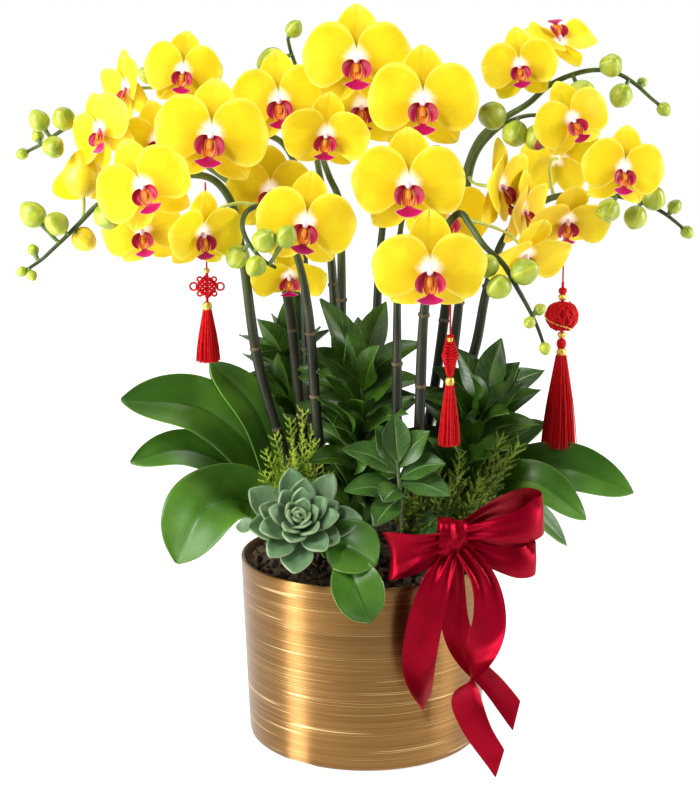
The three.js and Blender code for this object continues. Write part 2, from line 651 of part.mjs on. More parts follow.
// Feathery sprigs: shoots from one root to their tips, each a spindle whose tiers stand for its scale leaves.
const SPRIGS = {
  left: {
    root: [-60, -50], colour: "sprig",
    tips: [
      [-94, -78, 276], [-92, -76, 296], [-84, -66, 308], [-70, -62, 322], [-58, -63, 330], [-50, -62, 312],
    ],
  },
  right: {
    root: [78, -76], colour: "moss",
    tips: [
      [62, -86, 280], [84, -80, 292], [104, -84, 270], [122, -72, 286], [94, -98, 248], [68, -106, 236],
      [114, -94, 244], [140, -62, 298],
    ],
  },
};
const TIERS = [1.4, 1.4, 5, 1.8, 4.6, 1.6, 4, 0.5]; // the shoot's radius from tier to tier
const SPRIG_FOOT_RADIUS = 3.4;

function sprig(name, { root: [x, y], colour, tips }) {
  const tierAt = (t, step) => TIERS[step];
  const shoot = (tip) => stalk(points([[x, y, GROUND], tip]), tierAt, 3, TIERS.length - 1);
  const foot = peg(x, y, SPRIG_FOOT_RADIUS, GROUND + PEG_LAP / 2);
  add(`sprig_${name}`, fuse([foot, ...tips.map(shoot)]), colour);
}

// A rosette of thick pointed leaves on a short stem, facing forwards and up.
const ROSETTE = [
  { count: 8, length: 56, half: 15, lift: 8, start: 10 },
  { count: 7, length: 43, half: 13, lift: 32, start: 32 },
  { count: 5, length: 29, half: 10, lift: 58, start: 5 },
];

const ECHEVERIA_HEAD = [-60, -96, 229];
const ECHEVERIA_FOOT = [-62, -74];
const ECHEVERIA_TILT = 38; // how far the rosette's face looks up from level, in degrees
const ECHEVERIA_CURL = -24; // the leaves' tips turn up
const ECHEVERIA_TIER = 4; // the height between two rings of leaves
const ECHEVERIA_CORE_RADIUS = 9;
const ECHEVERIA_NECK_RADIUS = 5;

function echeveria() {
  const head = point(...ECHEVERIA_HEAD);
  const rings = ROSETTE.flatMap(({ count, length, half, lift, start }, ring) => {
    const outline = ECHEVERIA_OUTLINE.map(([t, share]) => [t, share * half]);
    return Array.from({ length: count }, (_, i) => {
      const fleshy = blade({ length, outline, bend: ECHEVERIA_CURL, thickness: 3 });
      return aim(fleshy, [0, 0, ECHEVERIA_TIER * ring], start + (360 * i) / count, lift);
    });
  });
  const core = stalk(points([[0, 0, -12], [0, 0, 12]]), () => ECHEVERIA_CORE_RADIUS, 5, 1);
  const turned = new THREE.Matrix4().makeRotationX(rad(90 - ECHEVERIA_TILT)).setPosition(head);
  const neckPath = [point(...ECHEVERIA_FOOT, GROUND - 6), head.clone().add(point(0, 6, -6))];
  const neck = stalk(neckPath, () => ECHEVERIA_NECK_RADIUS, 5, 1);
  const rosette = fuse([core, ...rings]).applyMatrix4(turned);
  const foot = peg(...ECHEVERIA_FOOT, ECHEVERIA_NECK_RADIUS + 1, GROUND);
  add("echeveria", fuse([rosette, neck, foot]), "echeveria");
}

// Ribbon: a strip along a path of [x, y, z, turn], with its width along reach, and turned about the path by
// the last number, in degrees. widthAt gives the width from the start, 0, to the end, 1.
function strip(path, reach, widthAt) {
  const curve = new THREE.CatmullRomCurve3(points(path.map(([x, y, z]) => [x, y, z])), false, "centripetal");
  const turnAt = (t) => {
    const place = t * (path.length - 1);
    const i = Math.min(Math.floor(place), path.length - 2);
    return rad(THREE.MathUtils.lerp(path[i][3], path[i + 1][3], place - i));
  };
  const rows = [];
  for (let i = 0; i <= RIBBON_STEPS; i++) {
    const t = i / RIBBON_STEPS;
    const along = curve.getTangent(t);
    const across = reach.clone().addScaledVector(along, -reach.dot(along)).normalize();
    across.applyAxisAngle(along, turnAt(t)).multiplyScalar(widthAt(t) / 2);
    const middle = curve.getPoint(t);
    rows.push([middle.clone().sub(across), middle.clone().add(across)]);
  }
  return sheet(rows, RIBBON_THICKNESS);
}

// Each loop leaves the knot at its back, turns in depth and comes back in front.
const KNOT = [77, -120, 226];
const KNOT_RADII = [14, 9, 17];
const BOW_LOOPS = [
  [
    [72, -118, 228, 0], [50, -112, 224, 0], [32, -112, 220, 0], [22, -122, 214, 0], [32, -134, 206, 0],
    [52, -134, 212, 0], [72, -126, 224, 0],
  ],
  [
    [82, -116, 230, 0], [112, -106, 246, 0], [142, -100, 248, 0], [156, -110, 242, 0], [142, -122, 236, 0],
    [112, -126, 232, 0], [82, -124, 228, 0],
  ],
  [
    [82, -117, 224, 0], [112, -110, 218, 0], [138, -108, 210, 0], [150, -116, 204, 0], [136, -126, 205, 0],
    [110, -128, 212, 0], [82, -125, 222, 0],
  ],
];
const BOW_TAILS = [
  [[74, -124, 218, 0], [62, -134, 190, 0], [48, -134, 150, 0], [42, -128, 108, -20], [45, -124, 70, -70]],
  [
    [80, -120, 216, 0], [84, -116, 180, 0], [88, -114, 140, 0], [100, -112, 112, 20], [120, -110, 90, 20],
    [138, -110, 66, 0],
  ],
  [
    [84, -126, 218, 0], [106, -136, 190, 0], [112, -138, 152, 0], [102, -136, 116, 40], [90, -132, 88, 140],
    [94, -130, 58, 180], [112, -128, 24, 180],
  ],
];
const PICK_FOOT = [58, -92]; // the wire pick that holds the bow stands here
const PICK_RADIUS = 1.6;

function bow() {
  const [x, y, z] = KNOT;
  const upright = point(0, 0, 1);
  const level = point(1, 0, 0);
  const knot = new THREE.SphereGeometry(1, 7, 5).rotateX(Math.PI / 2).scale(...KNOT_RADII).translate(x, y, z);
  const bend = [x - 6, y + 16, z - 10];
  const pickPath = points([KNOT, bend, [...PICK_FOOT, GROUND], [...PICK_FOOT, GROUND - PEG_LAP]]);
  const loopWidth = (t) => RIBBON_WIDTH * (0.5 + 0.6 * Math.sin(Math.PI * t));
  const tailWidth = (t) => RIBBON_WIDTH * Math.min(1, 0.5 + 2 * t);
  const pieces = [
    knot,
    stalk(pickPath, () => PICK_RADIUS, 4, 4),
    peg(...PICK_FOOT, PICK_RADIUS + 0.2, GROUND),
    ...BOW_LOOPS.map((path) => strip(path, upright, loopWidth)),
    ...BOW_TAILS.map((path) => strip(path, level, tailWidth)),
  ];
  add("ribbon_bow", fuse(pieces), "satin");
}

// Tassels: each hangs on a cord from a spike: a knotted ornament, a bead cap and a silk skirt. hung is the
// spike and the place that it hangs from, and ornament is the height of the ornament's top.
const TASSELS = {
  left: { hung: ["left_low", -144, -56, 538], ornament: 458, knot: "plaited", drop: 86, skirt: 11 },
  middle: { hung: ["front_right", 75, -109, 507], ornament: 404, knot: "slim", drop: 97, skirt: 10 },
  right: { hung: ["right_low", 183, -9, 520], ornament: 440, knot: "ball", drop: 157, skirt: 15 },
};
const SKIRT_SHARE = 0.56; // the skirt's share of the tassel's whole drop
const BEAD_RADIUS = 4.4;
const BEAD_HEIGHT = 8;
const CORE_RADIUS = 1.8;
const PLAITED_KNOT = 15;
const PLAITED_DEPTH = 5;
const PLAITED_EAR = 3.6;
const SLIM_KNOT = [5, 12, 16];
const BALL_RADII = [16, 16, 14.7];

function plaitedKnot() {
  const block = new THREE.BoxGeometry(PLAITED_KNOT, PLAITED_DEPTH, PLAITED_KNOT).rotateY(Math.PI / 4);
  const ears = [-1, 1].map((side) => {
    const ring = new THREE.TorusGeometry(PLAITED_EAR, 1.3, 3, 6).rotateX(Math.PI / 2);
    return ring.translate(side * PLAITED_KNOT * 0.86, 0, 0);
  });
  return [block, ...ears];
}

const ORNAMENTS = {
  plaited: plaitedKnot,
  slim: () => [new THREE.BoxGeometry(...SLIM_KNOT)],
  ball: () => [new THREE.SphereGeometry(1, 10, 6).rotateX(Math.PI / 2).scale(...BALL_RADII)],
};

// The point on a spike's underside, under the place nearest to the one given.
function underside(spikeName, place) {
  group.updateMatrixWorld(true);
  const { x, y, z } = nearest(spikeCurve(SPIKES[spikeName].path), place);
  const ray = new THREE.Raycaster(point(x, y, z - 20), point(0, 0, 1));
  return ray.intersectObject(group.getObjectByName(`spike_${spikeName}`))[0].point;
}

function tassel(name, { hung: [spikeName, ...spot], ornament, knot, drop, skirt }) {
  const { x, y, z } = underside(spikeName, point(...spot));
  const skirtTop = drop * (SKIRT_SHARE - 1);
  const beadTop = skirtTop + BEAD_HEIGHT;
  const foot = skirtTop - 2;
  const core = lathe([[0, foot], [CORE_RADIUS, foot], [CORE_RADIUS, 0], [0, 0]], 6);
  const beadProfile = [[0, skirtTop], [BEAD_RADIUS, skirtTop + 1], [BEAD_RADIUS, beadTop - 1], [0, beadTop]];
  const silkProfile = [
    [0, -drop],
    [skirt, -drop],
    [skirt * 0.62, THREE.MathUtils.lerp(-drop, skirtTop, 0.7)],
    [skirt * 0.42, skirtTop - 2],
    [0, skirtTop + 1],
  ];
  const knotted = ORNAMENTS[knot]().map((piece) => piece.translate(0, 0, beadTop / 2));
  const pieces = [core, lathe(beadProfile, 8), lathe(silkProfile, 10), ...knotted];
  add(`tassel_${name}`, fuse(pieces).translate(x, y, ornament), "silk");
  const section = new THREE.Shape().absarc(0, 0, CORD_RADIUS, 0, 2 * Math.PI);
  const cordTop = z - SEAT - CORD_RADIUS / 2;
  const extrudePath = new THREE.LineCurve3(point(x, y, ornament + SEAT), point(x, y, cordTop));
  const form = { extrudePath, steps: CORD_STEPS, curveSegments: CORD_SIDES };
  add(`tassel_cord_${name}`, asGeometry(asSolid(new THREE.ExtrudeGeometry(section, form))), "silk");
}

pot();
for (const [name, plan] of Object.entries(SPIKES)) spike(name, plan);
for (const [name, plan] of Object.entries(BLOOMS)) {
  const mesh = add(`bloom_${name}`, bloomShape(plan.width), "petal");
  mesh.quaternion.copy(facing(plan));
  mesh.position.set(...plan.at);
}
add("bloom_right_pair", fuse(PAIRED_BLOOMS.map(bloomAt)), "petal");
for (const [name, plan] of Object.entries(FANS)) orchidLeaves(name, plan);
for (const [name, plan] of Object.entries(LAURELS)) laurel(name, plan);
for (const [name, plan] of Object.entries(SPRIGS)) sprig(name, plan);
echeveria();
bow();
for (const [name, plan] of Object.entries(TASSELS)) tassel(name, plan);
growingMedium();

export default group;
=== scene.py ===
# %% [markdown]
# # Potted moth orchids
# Twelve arching flower spikes of yellow moth orchids stand in a brushed gold pot, with broad leaves, a blue-
# green rosette, feathery sprigs, a crimson satin bow and three silk tassels. The solids are finished
# already. This script dresses them: it makes the petals, leaves, ribbon and threads that a viewer sees, in
# the same places.

# %% Load the fixed frame
import math
import random

import bpy
import numpy as np
from mathutils import Matrix, Quaternion, Vector, noise


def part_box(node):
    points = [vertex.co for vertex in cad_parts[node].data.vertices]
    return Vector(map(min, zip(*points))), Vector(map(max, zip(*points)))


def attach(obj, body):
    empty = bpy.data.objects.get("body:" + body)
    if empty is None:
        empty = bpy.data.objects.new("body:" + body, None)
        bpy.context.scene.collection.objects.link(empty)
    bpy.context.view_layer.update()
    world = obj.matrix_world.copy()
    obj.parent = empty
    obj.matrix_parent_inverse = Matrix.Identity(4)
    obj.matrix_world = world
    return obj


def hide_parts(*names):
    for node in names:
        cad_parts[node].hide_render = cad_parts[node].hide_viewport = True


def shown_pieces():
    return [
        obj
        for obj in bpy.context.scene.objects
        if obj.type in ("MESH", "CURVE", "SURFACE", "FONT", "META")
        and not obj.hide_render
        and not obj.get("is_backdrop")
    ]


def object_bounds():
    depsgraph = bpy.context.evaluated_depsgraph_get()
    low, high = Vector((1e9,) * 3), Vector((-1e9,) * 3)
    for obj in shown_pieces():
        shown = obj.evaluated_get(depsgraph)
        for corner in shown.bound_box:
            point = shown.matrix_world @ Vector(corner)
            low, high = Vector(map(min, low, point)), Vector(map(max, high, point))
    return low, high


MM = 0.001
GOLDEN_ANGLE = 2.39996  # radians, the turn from one leaf to the next on many plants
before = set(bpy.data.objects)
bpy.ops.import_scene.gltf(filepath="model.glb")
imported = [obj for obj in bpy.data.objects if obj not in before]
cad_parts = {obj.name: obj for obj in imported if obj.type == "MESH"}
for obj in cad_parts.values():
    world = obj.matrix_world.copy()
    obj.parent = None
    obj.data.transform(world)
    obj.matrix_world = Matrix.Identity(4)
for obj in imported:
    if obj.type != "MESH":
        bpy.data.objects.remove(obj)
scene = bpy.context.scene
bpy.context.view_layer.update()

# %% [markdown]
# ## The camera and the light
# The photograph looks slightly down from 1.5 m away through a short telephoto lens. The light is a plain
# white studio: a wide soft key from the upper left, a fill from the right and a bright room all round, so
# that the petals keep their clear yellow and the gold gets long soft reflections.

# %% Camera, lights, floor
CAMERA_PLACE = Vector((-0.015, -1.5, 0.613))
CAMERA_DOWN = 10.6  # degrees
LENS = 73.6
ROOM_ABOVE = 0.2  # how bright the room is overhead; its walls near the floor are white
ROOM_BEFORE = 0.52  # how bright its walls are on the camera's side


def soft_light(name, place, aim_at, size, watts):
    lamp = bpy.data.lights.new(name, "AREA")
    lamp.shape = "ELLIPSE"
    lamp.size, lamp.size_y = size
    lamp.energy = watts
    holder = bpy.data.objects.new(name, lamp)
    holder.location = place
    holder.rotation_euler = (Vector(aim_at) - Vector(place)).to_track_quat("-Z", "Y").to_euler()
    holder.visible_camera = False
    scene.collection.objects.link(holder)


camera = bpy.data.objects.new("camera", bpy.data.cameras.new("camera"))
camera.data.lens = LENS
camera.data.sensor_width = 36
camera.location = CAMERA_PLACE
camera.rotation_euler = (math.radians(90 - CAMERA_DOWN), 0, 0)
scene.collection.objects.link(camera)
scene.camera = camera

soft_light("key", (-1.2, -1.3, 1.9), (0, 0, 0.35), (0.7, 0.7), 37)
soft_light("left_strip", (-1.5, -0.7, 0.75), (0, 0, 0.3), (0.28, 1.3), 26)
soft_light("right_strip", (1.6, -0.3, 0.8), (0, 0, 0.3), (0.28, 1.2), 28)
soft_light("top", (0.2, 0.6, 2.2), (0, 0, 0.3), (1.2, 1.2), 14)
scene.world = scene.world or bpy.data.worlds.new("studio")
scene.world.use_nodes = True
room = scene.world.node_tree
direction = room.nodes.new("ShaderNodeSeparateXYZ")
room.links.new(room.nodes.new("ShaderNodeTexCoord").outputs["Generated"], direction.inputs[0])


def room_fade(axis, start, end, first, last):
    fade = room.nodes.new("ShaderNodeMapRange")
    for key, value in {"From Min": start, "From Max": end, "To Min": first, "To Max": last}.items():
        fade.inputs[key].default_value = value
    room.links.new(direction.outputs[axis], fade.inputs["Value"])
    return fade.outputs[0]


brightness = room.nodes.new("ShaderNodeMath")
brightness.operation = "MULTIPLY"
room.links.new(room_fade("Z", 0.08, 0.35, 1.0, ROOM_ABOVE), brightness.inputs[0])
room.links.new(room_fade("Y", -0.3, 0.85, ROOM_BEFORE, 1.0), brightness.inputs[1])
room.links.new(brightness.outputs[0], room.nodes["Background"].inputs["Strength"])
room.nodes["Background"].inputs["Color"].default_value = (1, 1, 1, 1)
scene.view_settings.view_transform = "Standard"

# %% [markdown]
# ## Modelling by hand, in code
# Each piece starts as one of Blender's primitives, is shaped, gets its modifiers, and is then settled: its
# place goes into its mesh, so that the object itself sits at the origin. A few helpers keep those steps
# short.


# %% Helpers for objects
def only(*objects):
    bpy.ops.object.select_all(action="DESELECT")
    for o in objects:
        o.select_set(True)
    bpy.context.view_layer.objects.active = objects[0]


def added(operator, name, **settings):
    bpy.ops.object.select_all(action="DESELECT")
    operator(**settings)
    bpy.context.object.name = name
    return bpy.context.object


def settled(piece):
    only(piece)
    bpy.ops.object.transform_apply(location=True, rotation=True, scale=True)
    return piece


def modified(piece, kind, **settings):
    only(piece)
    modifier = piece.modifiers.new(kind.title(), kind)
    for key, value in settings.items():
        setattr(modifier, key, value)
    bpy.ops.object.modifier_apply(modifier=modifier.name)
    return piece


def thickened(piece, thickness, levels=1):
    modified(piece, "SOLIDIFY", thickness=thickness, offset=0)
    if levels:
        modified(piece, "SUBSURF", levels=levels, render_levels=levels)
    return smooth(piece)


def smooth(piece, angle=40):
    only(piece)
    bpy.ops.object.shade_smooth_by_angle(angle=math.radians(angle))
    return piece


def joined(name, parts):
    only(*parts)
    if len(parts) > 1:
        bpy.ops.object.join()
    parts[0].name = name
    return parts[0]


def copied(master, matrix):
    """A copy of a master piece with its own mesh, moved by a matrix."""
    twin = master.copy()
    twin.data = master.data.copy()
    twin.data.transform(matrix)
    scene.collection.objects.link(twin)
    return twin


def painted(piece, *materials):
    piece.data.materials.clear()
    for material in materials:
        piece.data.materials.append(material)
    return piece


def handed_in(piece, slot, *nodes):
    """The finished piece moves with the pot and stands for these solids, which it hides. slot is not used."""
    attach(piece, "root")
    if nodes:
        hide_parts(*nodes)
    return piece


# %% [markdown]
# ## Curved surfaces
# Petals, leaves and ribbon are all one thing: a flat grid whose points are moved onto a curved surface. The
# grid keeps its own UV map, so later a material can tell the midrib from the margin and the base from the
# tip.


# %% Helpers for surfaces and lines
def grown(name, across, along, place):
    """A grid whose points go where place(side, t) says: side runs from -1 to 1, and t from 0 to 1."""
    grid = added(bpy.ops.mesh.primitive_grid_add, name, x_subdivisions=across, y_subdivisions=along, size=2)
    for vertex in grid.data.vertices:
        vertex.co = place(vertex.co.x, (vertex.co.y + 1) / 2)
    return grid


def through(knots, x):
    """A smooth value at x through [x, value] knots."""
    xs, ys = np.array(knots, float).T
    slopes = np.gradient(ys, xs)
    i = int(np.clip(np.searchsorted(xs, x) - 1, 0, len(xs) - 2))
    h = xs[i + 1] - xs[i]
    t = min(max((x - xs[i]) / h, 0), 1)
    bend = t * t * (3 - 2 * t)
    ease = h * (slopes[i] * t * (1 - t) ** 2 - slopes[i + 1] * t * t * (1 - t))
    return float(ys[i] + (ys[i + 1] - ys[i]) * bend + ease)


class Line:
    """A smooth line through points, walked by its share of the length."""

    def __init__(self, points, fine=12):
        points = [Vector(p) for p in points]
        gaps = [0.0]
        for a, b in zip(points, points[1:]):
            gaps.append(gaps[-1] + max((b - a).length, 1e-9) ** 0.5)
        stops = np.linspace(0, gaps[-1], fine * (len(points) - 1) + 1)
        knots = [[[g, p[k]] for g, p in zip(gaps, points)] for k in range(3)]
        self.points = [Vector([through(knot, s) for knot in knots]) for s in stops]
        steps = [(b - a).length for a, b in zip(self.points, self.points[1:])]
        self.reach = np.concatenate([[0], np.cumsum(steps)])
        self.length = float(self.reach[-1])

    def at(self, t):
        walked = t * self.length
        return Vector([float(np.interp(walked, self.reach, [p[k] for p in self.points])) for k in range(3)])

    def heading(self, t):
        return (self.at(min(t + 0.02, 1)) - self.at(max(t - 0.02, 0))).normalized()

    def nearest(self, target, start=0.3):
        spots = [i / 200 for i in range(int(200 * start), 201)]
        return min(spots, key=lambda t: (self.at(t) - target).length)


def tube(name, points, radius, sides=8):
    """A round tube along points. radius is a number, or a list with one number for each point."""
    path = added(bpy.ops.curve.primitive_nurbs_path_add, name)
    data = path.data
    data.splines.clear()
    spline = data.splines.new("POLY")
    spline.points.add(len(points) - 1)
    radii = radius if isinstance(radius, list) else [radius] * len(points)
    for spot, place, r in zip(spline.points, points, radii):
        spot.co = (*place, 1)
        spot.radius = r
    data.bevel_depth = 1
    data.bevel_resolution = max(0, sides // 2 - 2)
    data.use_fill_caps = True
    data.dimensions = "3D"
    bpy.ops.object.convert(target="MESH")
    return smooth(settled(bpy.context.object), 60)


# %% [markdown]
# ## Shader maths as Python
# A material here is a handful of expressions. Wire wraps one socket, and adding or multiplying two of them
# adds the Math node for it. Everything else, such as a noise or a ramp, goes through one method of Paint.


# %% Wire and Paint
class Wire:
    def __init__(self, paint, socket):
        self.paint, self.socket = paint, socket

    def math(self, operation, *others):
        return self.paint.node("ShaderNodeMath", {"operation": operation}, [self, *others])

    def __add__(self, other):
        return self.math("ADD", other)

    def __sub__(self, other):
        return self.math("SUBTRACT", other)

    def __rsub__(self, other):
        return (self * -1) + other

    def __mul__(self, other):
        return self.math("MULTIPLY", other)

    def __truediv__(self, other):
        return self.math("DIVIDE", other)

    __radd__ = __add__
    __rmul__ = __mul__

    def size(self):
        return self.math("ABSOLUTE")

    def wave(self):
        return self.math("SINE")

    def from_to(self, start, end):
        """0 at start, 1 at end, held outside them."""
        ease = {"interpolation_type": "SMOOTHSTEP"}
        ends = {"Value": self, "From Min": start, "From Max": end}
        return self.paint.node("ShaderNodeMapRange", ease, ends)


class Paint:
    """One material under construction."""

    def __init__(self, name):
        self.material = bpy.data.materials.new(name)
        self.material.use_nodes = True
        self.tree = self.material.node_tree
        self.surface = self.tree.nodes["Principled BSDF"]

    def node(self, kind, settings=None, inputs=None, output=0):
        made = self.tree.nodes.new(kind)
        for key, value in (settings or {}).items():
            setattr(made, key, value)
        sockets = inputs.items() if isinstance(inputs, dict) else enumerate(inputs or [])
        for key, value in sockets:
            self.feed(made.inputs[key], value)
        return Wire(self, made.outputs[output])

    def feed(self, socket, value):
        if isinstance(value, Wire):
            self.tree.links.new(value.socket, socket)
        elif hasattr(value, "__len__") and len(value) == 3 and len(socket.default_value) == 4:
            socket.default_value = (*value, 1)
        else:
            socket.default_value = value

    def place(self):
        return self.node("ShaderNodeTexCoord", output="Object")

    def parts(self, vector):
        split = self.node("ShaderNodeSeparateXYZ", inputs=[vector])
        outputs = split.socket.node.outputs
        return [Wire(self, outputs[i]) for i in range(3)]

    def grid(self):
        """How far across, from -1 to 1, and how far along, from 0 to 1, a point of a grown piece is."""
        u, v, _ = self.parts(self.node("ShaderNodeUVMap"))
        return u * 2 - 1, v

    def noise(self, scale, stretch=(1, 1, 1), detail=3, at=None):
        """Noise with features of about 1 / scale metres."""
        spot = self.node("ShaderNodeVectorMath", {"operation": "MULTIPLY"}, [at or self.place(), stretch])
        return self.node("ShaderNodeTexNoise", inputs={"Vector": spot, "Scale": scale, "Detail": detail})

    def mix(self, share, a, b):
        made = self.tree.nodes.new("ShaderNodeMix")
        made.data_type = "RGBA"
        for socket, value in ((made.inputs[0], share), (made.inputs[6], a), (made.inputs[7], b)):
            self.feed(socket, value)
        return Wire(self, made.outputs[2])

    def bump(self, height, strength, distance):
        levels = {"Strength": strength, "Distance": distance, "Height": height}
        return self.node("ShaderNodeBump", inputs=levels)

    def done(self, **sockets):
        for key, value in sockets.items():
            self.feed(self.surface.inputs[key.replace("_", " ")], value)
        return self.material


# %% [markdown]
# ## The finishes
# Petals are lemon yellow with fine veins that fan out from the base, a paler margin and a white centre, which
# also gives off a little light of its own, a painted glow. The lip is crimson and magenta over an orange
# throat. Leaves differ in gloss: the orchid's are waxy, the leafy stems' show pale veins, and the rosette's
# are dusty, with a pale edge.


# %% Petal, lip and column
def petal_finish():
    paint = Paint("petal")
    side, along = paint.grid()
    patch = paint.noise(38, detail=4)
    deep = paint.mix(patch.from_to(0.35, 0.65), (0.84, 0.55, 0.004), (0.92, 0.66, 0.009))
    half = (along * 2.2 + 0.1).math("MINIMUM", 0.6)
    out = (along * along + side * side * half * half).math("SQRT")
    shaded = paint.mix(out.from_to(0.62, 0.16) * 0.5, deep, (0.78, 0.46, 0.0))
    margin = side.size().math("MAXIMUM", along).from_to(0.8, 1.0)
    body = paint.mix(margin * 0.6, shaded, (0.98, 0.84, 0.12))
    veins = ((side * 15 + patch * 1.4).wave().size()).from_to(0.22, 0.0)
    veined = paint.mix(veins * along.from_to(1.0, 0.3) * 0.22, body, (0.82, 0.46, 0.0))
    # The white centre is the petal's own colour. The same mask also drives the emission, a painted glow of
    # light.
    white_centre_and_painted_glow = (out + paint.noise(150) * 0.1 + veins * 0.05).from_to(0.34, 0.1)
    pale = paint.mix(white_centre_and_painted_glow * 0.85, veined, (1.0, 0.92, 0.84))
    specks = paint.noise(620, detail=2).from_to(0.56, 0.68) * out.from_to(0.24, 0.1)
    flecked = paint.mix(specks * 0.3, pale, (0.85, 0.3, 0.4))
    bumped = paint.bump(veins * -0.5 + paint.noise(420) * 0.4, 0.3, 0.0006)
    return paint.done(
        Base_Color=flecked,
        # Emission: the white centre glows a little. This is painted light that brightens it where the petals
        # shade it.
        Emission_Color=paint.mix(white_centre_and_painted_glow, (0, 0, 0), (0.42, 0.4, 0.36)),
        Emission_Strength=1.0,
        Roughness=patch * 0.2 + 0.42,
        Normal=bumped,
        Subsurface_Weight=0.3,
        Subsurface_Radius=(0.006, 0.005, 0.0008),
        Subsurface_Scale=1.0,
        Specular_IOR_Level=0.22,
    )


def lip_finish(name, inner, outer, rim_share):
    """A velvety lobe of the lip: one red turning into another, with a paler rim."""
    paint = Paint(name)
    side, along = paint.grid()
    mottle = paint.noise(300, detail=3).from_to(0.3, 0.7)
    red = paint.mix(along.from_to(0.2, 0.9), inner, outer)
    deeper = paint.mix(mottle * 0.35, red, (0.3, 0.0, 0.02))
    rim = side.size().math("MAXIMUM", along).from_to(0.86, 1.0)
    rimmed = paint.mix(rim * rim_share, deeper, (0.95, 0.5, 0.62))
    velvet = paint.bump(paint.noise(900), 0.25, 0.0004)
    return paint.done(
        Base_Color=rimmed,
        Roughness=mottle * 0.1 + 0.38,
        Normal=velvet,
        Subsurface_Weight=0.06,
        Subsurface_Radius=(0.003, 0.001, 0.001),
        Subsurface_Scale=1.0,
        Specular_IOR_Level=0.25,
    )


def throat_finish():
    """Orange, with red lines that run inwards, and red where it meets the side lobes."""
    paint = Paint("throat")
    side, along = paint.grid()
    patch = paint.noise(260, detail=3)
    orange = paint.mix(patch.from_to(0.35, 0.65), (0.95, 0.36, 0.012), (0.9, 0.2, 0.01))
    lines = (side * 9 + patch * 2).wave().size().from_to(0.6, 0.2)
    lined = paint.mix(lines * 0.9, orange, (0.42, 0.005, 0.015))
    edged = paint.mix(side.size().from_to(0.62, 0.95), lined, (0.42, 0.0, 0.03))
    return paint.done(Base_Color=edged, Roughness=patch * 0.1 + 0.42, Normal=paint.bump(lines, 0.3, 0.0004),
                      Specular_IOR_Level=0.3)


def plain_finish(name, colour, darker, scale, roughness, depth, **fixed):
    """A natural surface that wanders between two colours, with a fine grain."""
    paint = Paint(name)
    patch = paint.noise(scale, detail=5)
    shade = paint.mix(patch.from_to(0.35, 0.65), colour, darker)
    grain = paint.bump(paint.noise(scale * 9), 0.5, depth)
    return paint.done(Base_Color=shade, Roughness=patch * 0.2 + roughness, Normal=grain, **fixed)


PETAL = petal_finish()
LIP_WING = lip_finish("lip_side_lobe", (0.3, 0.0, 0.018), (0.44, 0.0, 0.05), 0.12)
LIP_TIP = lip_finish("lip_middle_lobe", (0.42, 0.0, 0.05), (0.56, 0.0, 0.13), 0.6)
THROAT = throat_finish()
COLUMN = plain_finish("column", (0.95, 0.82, 0.84), (0.86, 0.4, 0.55), 260, 0.3, 0.0003)


# %% Stems, buds and leaves
def spike_finish():
    """Dark brown-green rods that turn olive where they arch."""
    paint = Paint("spike")
    _, _, height = paint.parts(paint.place())
    patch = paint.noise(70, stretch=(1, 1, 0.25), detail=5)
    low = paint.mix(patch.from_to(0.4, 0.65), (0.01, 0.012, 0.005), (0.026, 0.026, 0.01))
    high = paint.mix(patch.from_to(0.35, 0.65), (0.04, 0.07, 0.012), (0.095, 0.14, 0.025))
    shade = paint.mix(height.from_to(0.38, 0.56), low, high)
    grain = paint.bump(paint.noise(600, stretch=(1, 1, 0.2)), 0.4, 0.0004)
    return paint.done(Base_Color=shade, Roughness=patch * 0.2 + 0.34, Normal=grain, Specular_IOR_Level=0.3)


def bud_finish(name, dull, bright, seams):
    """One colour with lighter seams and a brown tip.
    The bud's own map runs round it, and from its foot to its tip."""
    paint = Paint(name)
    round_it, along, _ = paint.parts(paint.node("ShaderNodeUVMap"))
    patch = paint.noise(90, detail=4)
    green = paint.mix(patch.from_to(0.35, 0.65), dull, bright)
    seam = (round_it * (3 * math.pi)).wave().size().from_to(0.25, 0.0)
    seamed = paint.mix(seam * 0.6, green, seams)
    tipped = paint.mix(along.from_to(0.93, 1.0) * 0.7, seamed, (0.3, 0.13, 0.02))
    grain = paint.bump(paint.noise(500), 0.3, 0.0003)
    return paint.done(Base_Color=tipped, Roughness=0.4, Normal=grain, Subsurface_Weight=0.1,
                      Subsurface_Radius=(0.003, 0.004, 0.001), Subsurface_Scale=1.0)


def orchid_leaf_finish():
    """Waxy bright green with a fine dark midrib, lengthwise fibres and a thin pale margin."""
    paint = Paint("orchid_leaf")
    side, along = paint.grid()
    patch = paint.noise(16, detail=4)
    green = paint.mix(patch.from_to(0.35, 0.68), (0.028, 0.09, 0.006), (0.07, 0.18, 0.015))
    fibre = (side * 90 + patch * 3).wave()
    fibrous = paint.mix(fibre.from_to(0.2, 1.0) * 0.12, green, (0.08, 0.26, 0.015))
    rib = paint.mix(side.size().from_to(0.035, 0.0) * 0.8, fibrous, (0.012, 0.07, 0.004))
    edged = paint.mix(side.size().from_to(0.965, 1.0) * 0.4, rib, (0.3, 0.5, 0.09))
    relief = paint.bump(fibre * 0.1 + patch, 0.25, 0.001)
    return paint.done(Base_Color=edged, Roughness=patch * 0.16 + 0.25, Normal=relief, Specular_IOR_Level=0.35)


